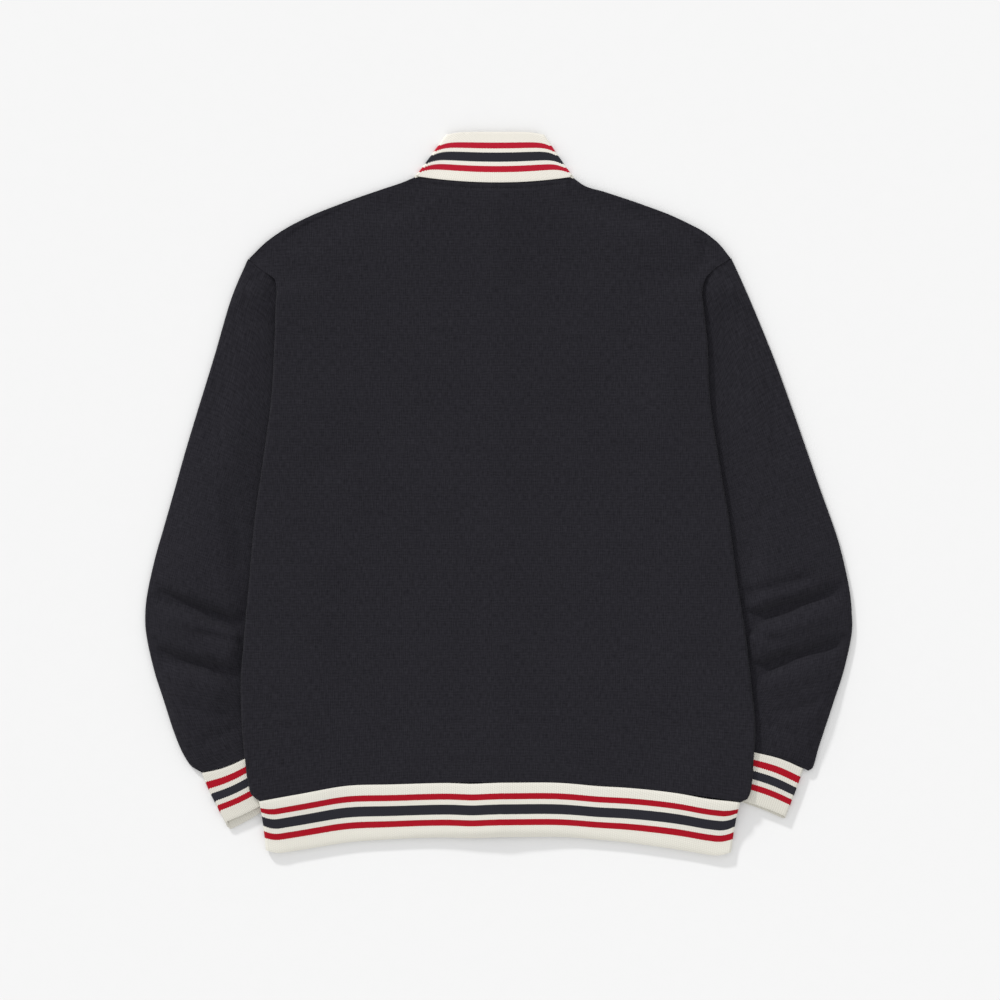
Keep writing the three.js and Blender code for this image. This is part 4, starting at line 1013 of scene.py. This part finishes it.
def striped_rib(name, cream, red, bands):
    """Rib knit with bands of yarn; bands are the widths from the seam, cream first and then in turn."""
    put, work, finish, _, nodes = new_material(name, 0.85, 0.08)
    pattern, count, deep = split_map(put, nodes)
    turn = work("MULTIPLY", count, 2 * math.pi)
    step = work("MULTIPLY", work("SINE", turn), 0.2)
    fuzz = put("ShaderNodeTexNoise", {"Vector": pattern, "Scale": 2.2, "Detail": 2.0})
    edge = work("ADD", work("ADD", deep, step), work("MULTIPLY", work("SUBTRACT", fuzz, 0.5), 0.5))
    share = work("DIVIDE", edge, RAMP_SPAN)
    ramp = nodes.new("ShaderNodeValToRGB")
    ramp.color_ramp.interpolation = "CONSTANT"
    stops = ramp.color_ramp.elements
    stops[0].color = cream
    stops.remove(stops[1])
    run = 0
    for width, colour in zip(bands, (red, cream, NAVY, cream, red, cream)):
        run += width
        stops.new(run / RAMP_SPAN).color = colour
    nodes.id_data.links.new(share, ramp.inputs[0])
    # Painted shade: the colour darkens towards the grooves between the ridges
    painted_groove_shade = put("ShaderNodeMapRange", {0: work("COSINE", turn), 1: -1.0, 2: 0.2, 3: 0.93, 4: 1.0})
    across = work("MULTIPLY", count, math.pi)
    row = work("SINE", work("ADD", work("MULTIPLY", deep, 2 * math.pi / 1.9), across))
    yarn = put("ShaderNodeTexNoise", {"Vector": pattern, "Scale": 3.1, "Detail": 3.0})
    # level is the painted groove shade times a little random yarn tone
    level = work("MULTIPLY", painted_groove_shade, put("ShaderNodeMapRange", {0: yarn, 3: 0.93, 4: 1.05}))
    grey = put("ShaderNodeCombineColor", {0: level, 1: level, 2: level})
    colour = put("ShaderNodeMix", {0: 1.0, 6: ramp.outputs[0], 7: grey}, data_type="RGBA",
                 blend_type="MULTIPLY")
    height = work("ADD", work("MULTIPLY", row, 0.5), yarn)
    return finish(colour.node.outputs[2], height, 0.15 * MM)


collar_rib = striped_rib("collar rib", PALE_CREAM, BRIGHT_RED, (10.4, 6.6, 4.4, 9.8, 4.2, 6.4))
hem_rib = striped_rib("hem rib", CREAM, RED, (10.7, 6.3, 5.2, 10.2, 5.3, 6.3))
# The cuffs take the cream with painted shade
cuff_rib = striped_rib("cuff rib", CUFF_CREAM_WITH_PAINTED_SHADE, RED, (8.6, 6.4, 4.4, 9.2, 4.8, 5.8))


# %% Tape, thread and metal
def woven_tape(name, dark, pale):
    """A narrow twill."""
    put, work, finish, _, nodes = new_material(name, 0.8, 0.15)
    pattern, across, down = split_map(put, nodes)
    twill = work("SINE", work("MULTIPLY", work("ADD", across, down), 2 * math.pi / 0.0012))
    yarn = put("ShaderNodeTexNoise", {"Vector": pattern, "Scale": 900.0, "Detail": 2.0})
    amount = work("ADD", work("MULTIPLY", twill, 0.3), yarn)
    return finish(shades(put, amount, dark, pale), twill, 0.08 * MM)


def spun_thread(name, dark, pale):
    """Thread with a little unevenness."""
    put, _, finish, *_ = new_material(name, 0.7, 0.2)
    place = put("ShaderNodeTexCoord").node.outputs["Object"]
    yarn = put("ShaderNodeTexNoise", {"Vector": place, "Scale": 2500.0, "Detail": 2.0})
    return finish(shades(put, yarn, dark, pale), yarn, 0.05 * MM)


def satin_metal(name, dark, pale):
    """Metal brushed along the zip."""
    put, _, finish, shader, _ = new_material(name, 0.34, 0.5)
    shader.inputs["Metallic"].default_value = 1.0
    place = put("ShaderNodeTexCoord").node.outputs["Object"]
    brushed = put("ShaderNodeMapping", {0: place, 3: (3000, 300, 3000)})
    scratch = put("ShaderNodeTexNoise", {"Vector": brushed, "Scale": 1.0, "Detail": 3.0})
    return finish(shades(put, scratch, dark, pale), scratch, 0.02 * MM)


tape_cloth = woven_tape("tape", (0.010, 0.010, 0.013, 1), (0.022, 0.022, 0.027, 1))
dark_thread = spun_thread("thread", (0.010, 0.0095, 0.0125, 1), (0.026, 0.025, 0.031, 1))
zip_steel = satin_metal("zip steel", (0.44, 0.44, 0.43, 1), (0.60, 0.60, 0.58, 1))

# %% [markdown]
# ## Putting the pieces in the frame
# Each new piece rides on the body that it belongs to and stands for its measured node. The pull hangs on
# its own hinge, so it keeps its own body.


# %% Dress the pieces
def dress(piece, material, node):
    """The piece's finish, the measured node it stands for and the body it rides on."""
    piece.data.materials.append(material)
    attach(piece, "jacket")
    if node:
        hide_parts(node)


dress(back, navy_knit, "back_panel")
dress(hem, hem_rib, "hem_rib")
dress(collar, collar_rib, "collar")
dress(neck_stitches, dark_thread, None)
for name in SIDES:
    dress(fronts[name], navy_knit, "front_" + name)
    dress(sleeves[name], navy_knit, "sleeve_" + name)
    dress(cuffs[name], cuff_rib, "cuff_" + name)
    dress(tapes[name], tape_cloth, "zip_tape_" + name)
    dress(teeth[name], zip_steel, None)
    dress(front_stitches[name], dark_thread, None)
for node in ("zip_slider", "zip_pull", "zip_box"):
    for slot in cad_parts[node].material_slots:
        slot.material = zip_steel

# %% The table top
floor_mesh = bmesh.new()
bmesh.ops.create_grid(floor_mesh, x_segments=1, y_segments=1, size=4)
bmesh.ops.translate(floor_mesh, vec=(0, 0, -0.3 * MM), verts=floor_mesh.verts)
floor = new_piece("table_top", floor_mesh)
put, work, finish, *_ = new_material("pale table", 0.9, 0.0)
place = put("ShaderNodeTexCoord").node.outputs["Object"]
grain = put("ShaderNodeTexNoise", {"Vector": place, "Scale": 60.0, "Detail": 2.0})
pale_table = shades(put, grain, (0.80, 0.80, 0.80, 1), (0.81, 0.81, 0.81, 1))
floor.data.materials.append(finish(pale_table, grain, 0.01 * MM))
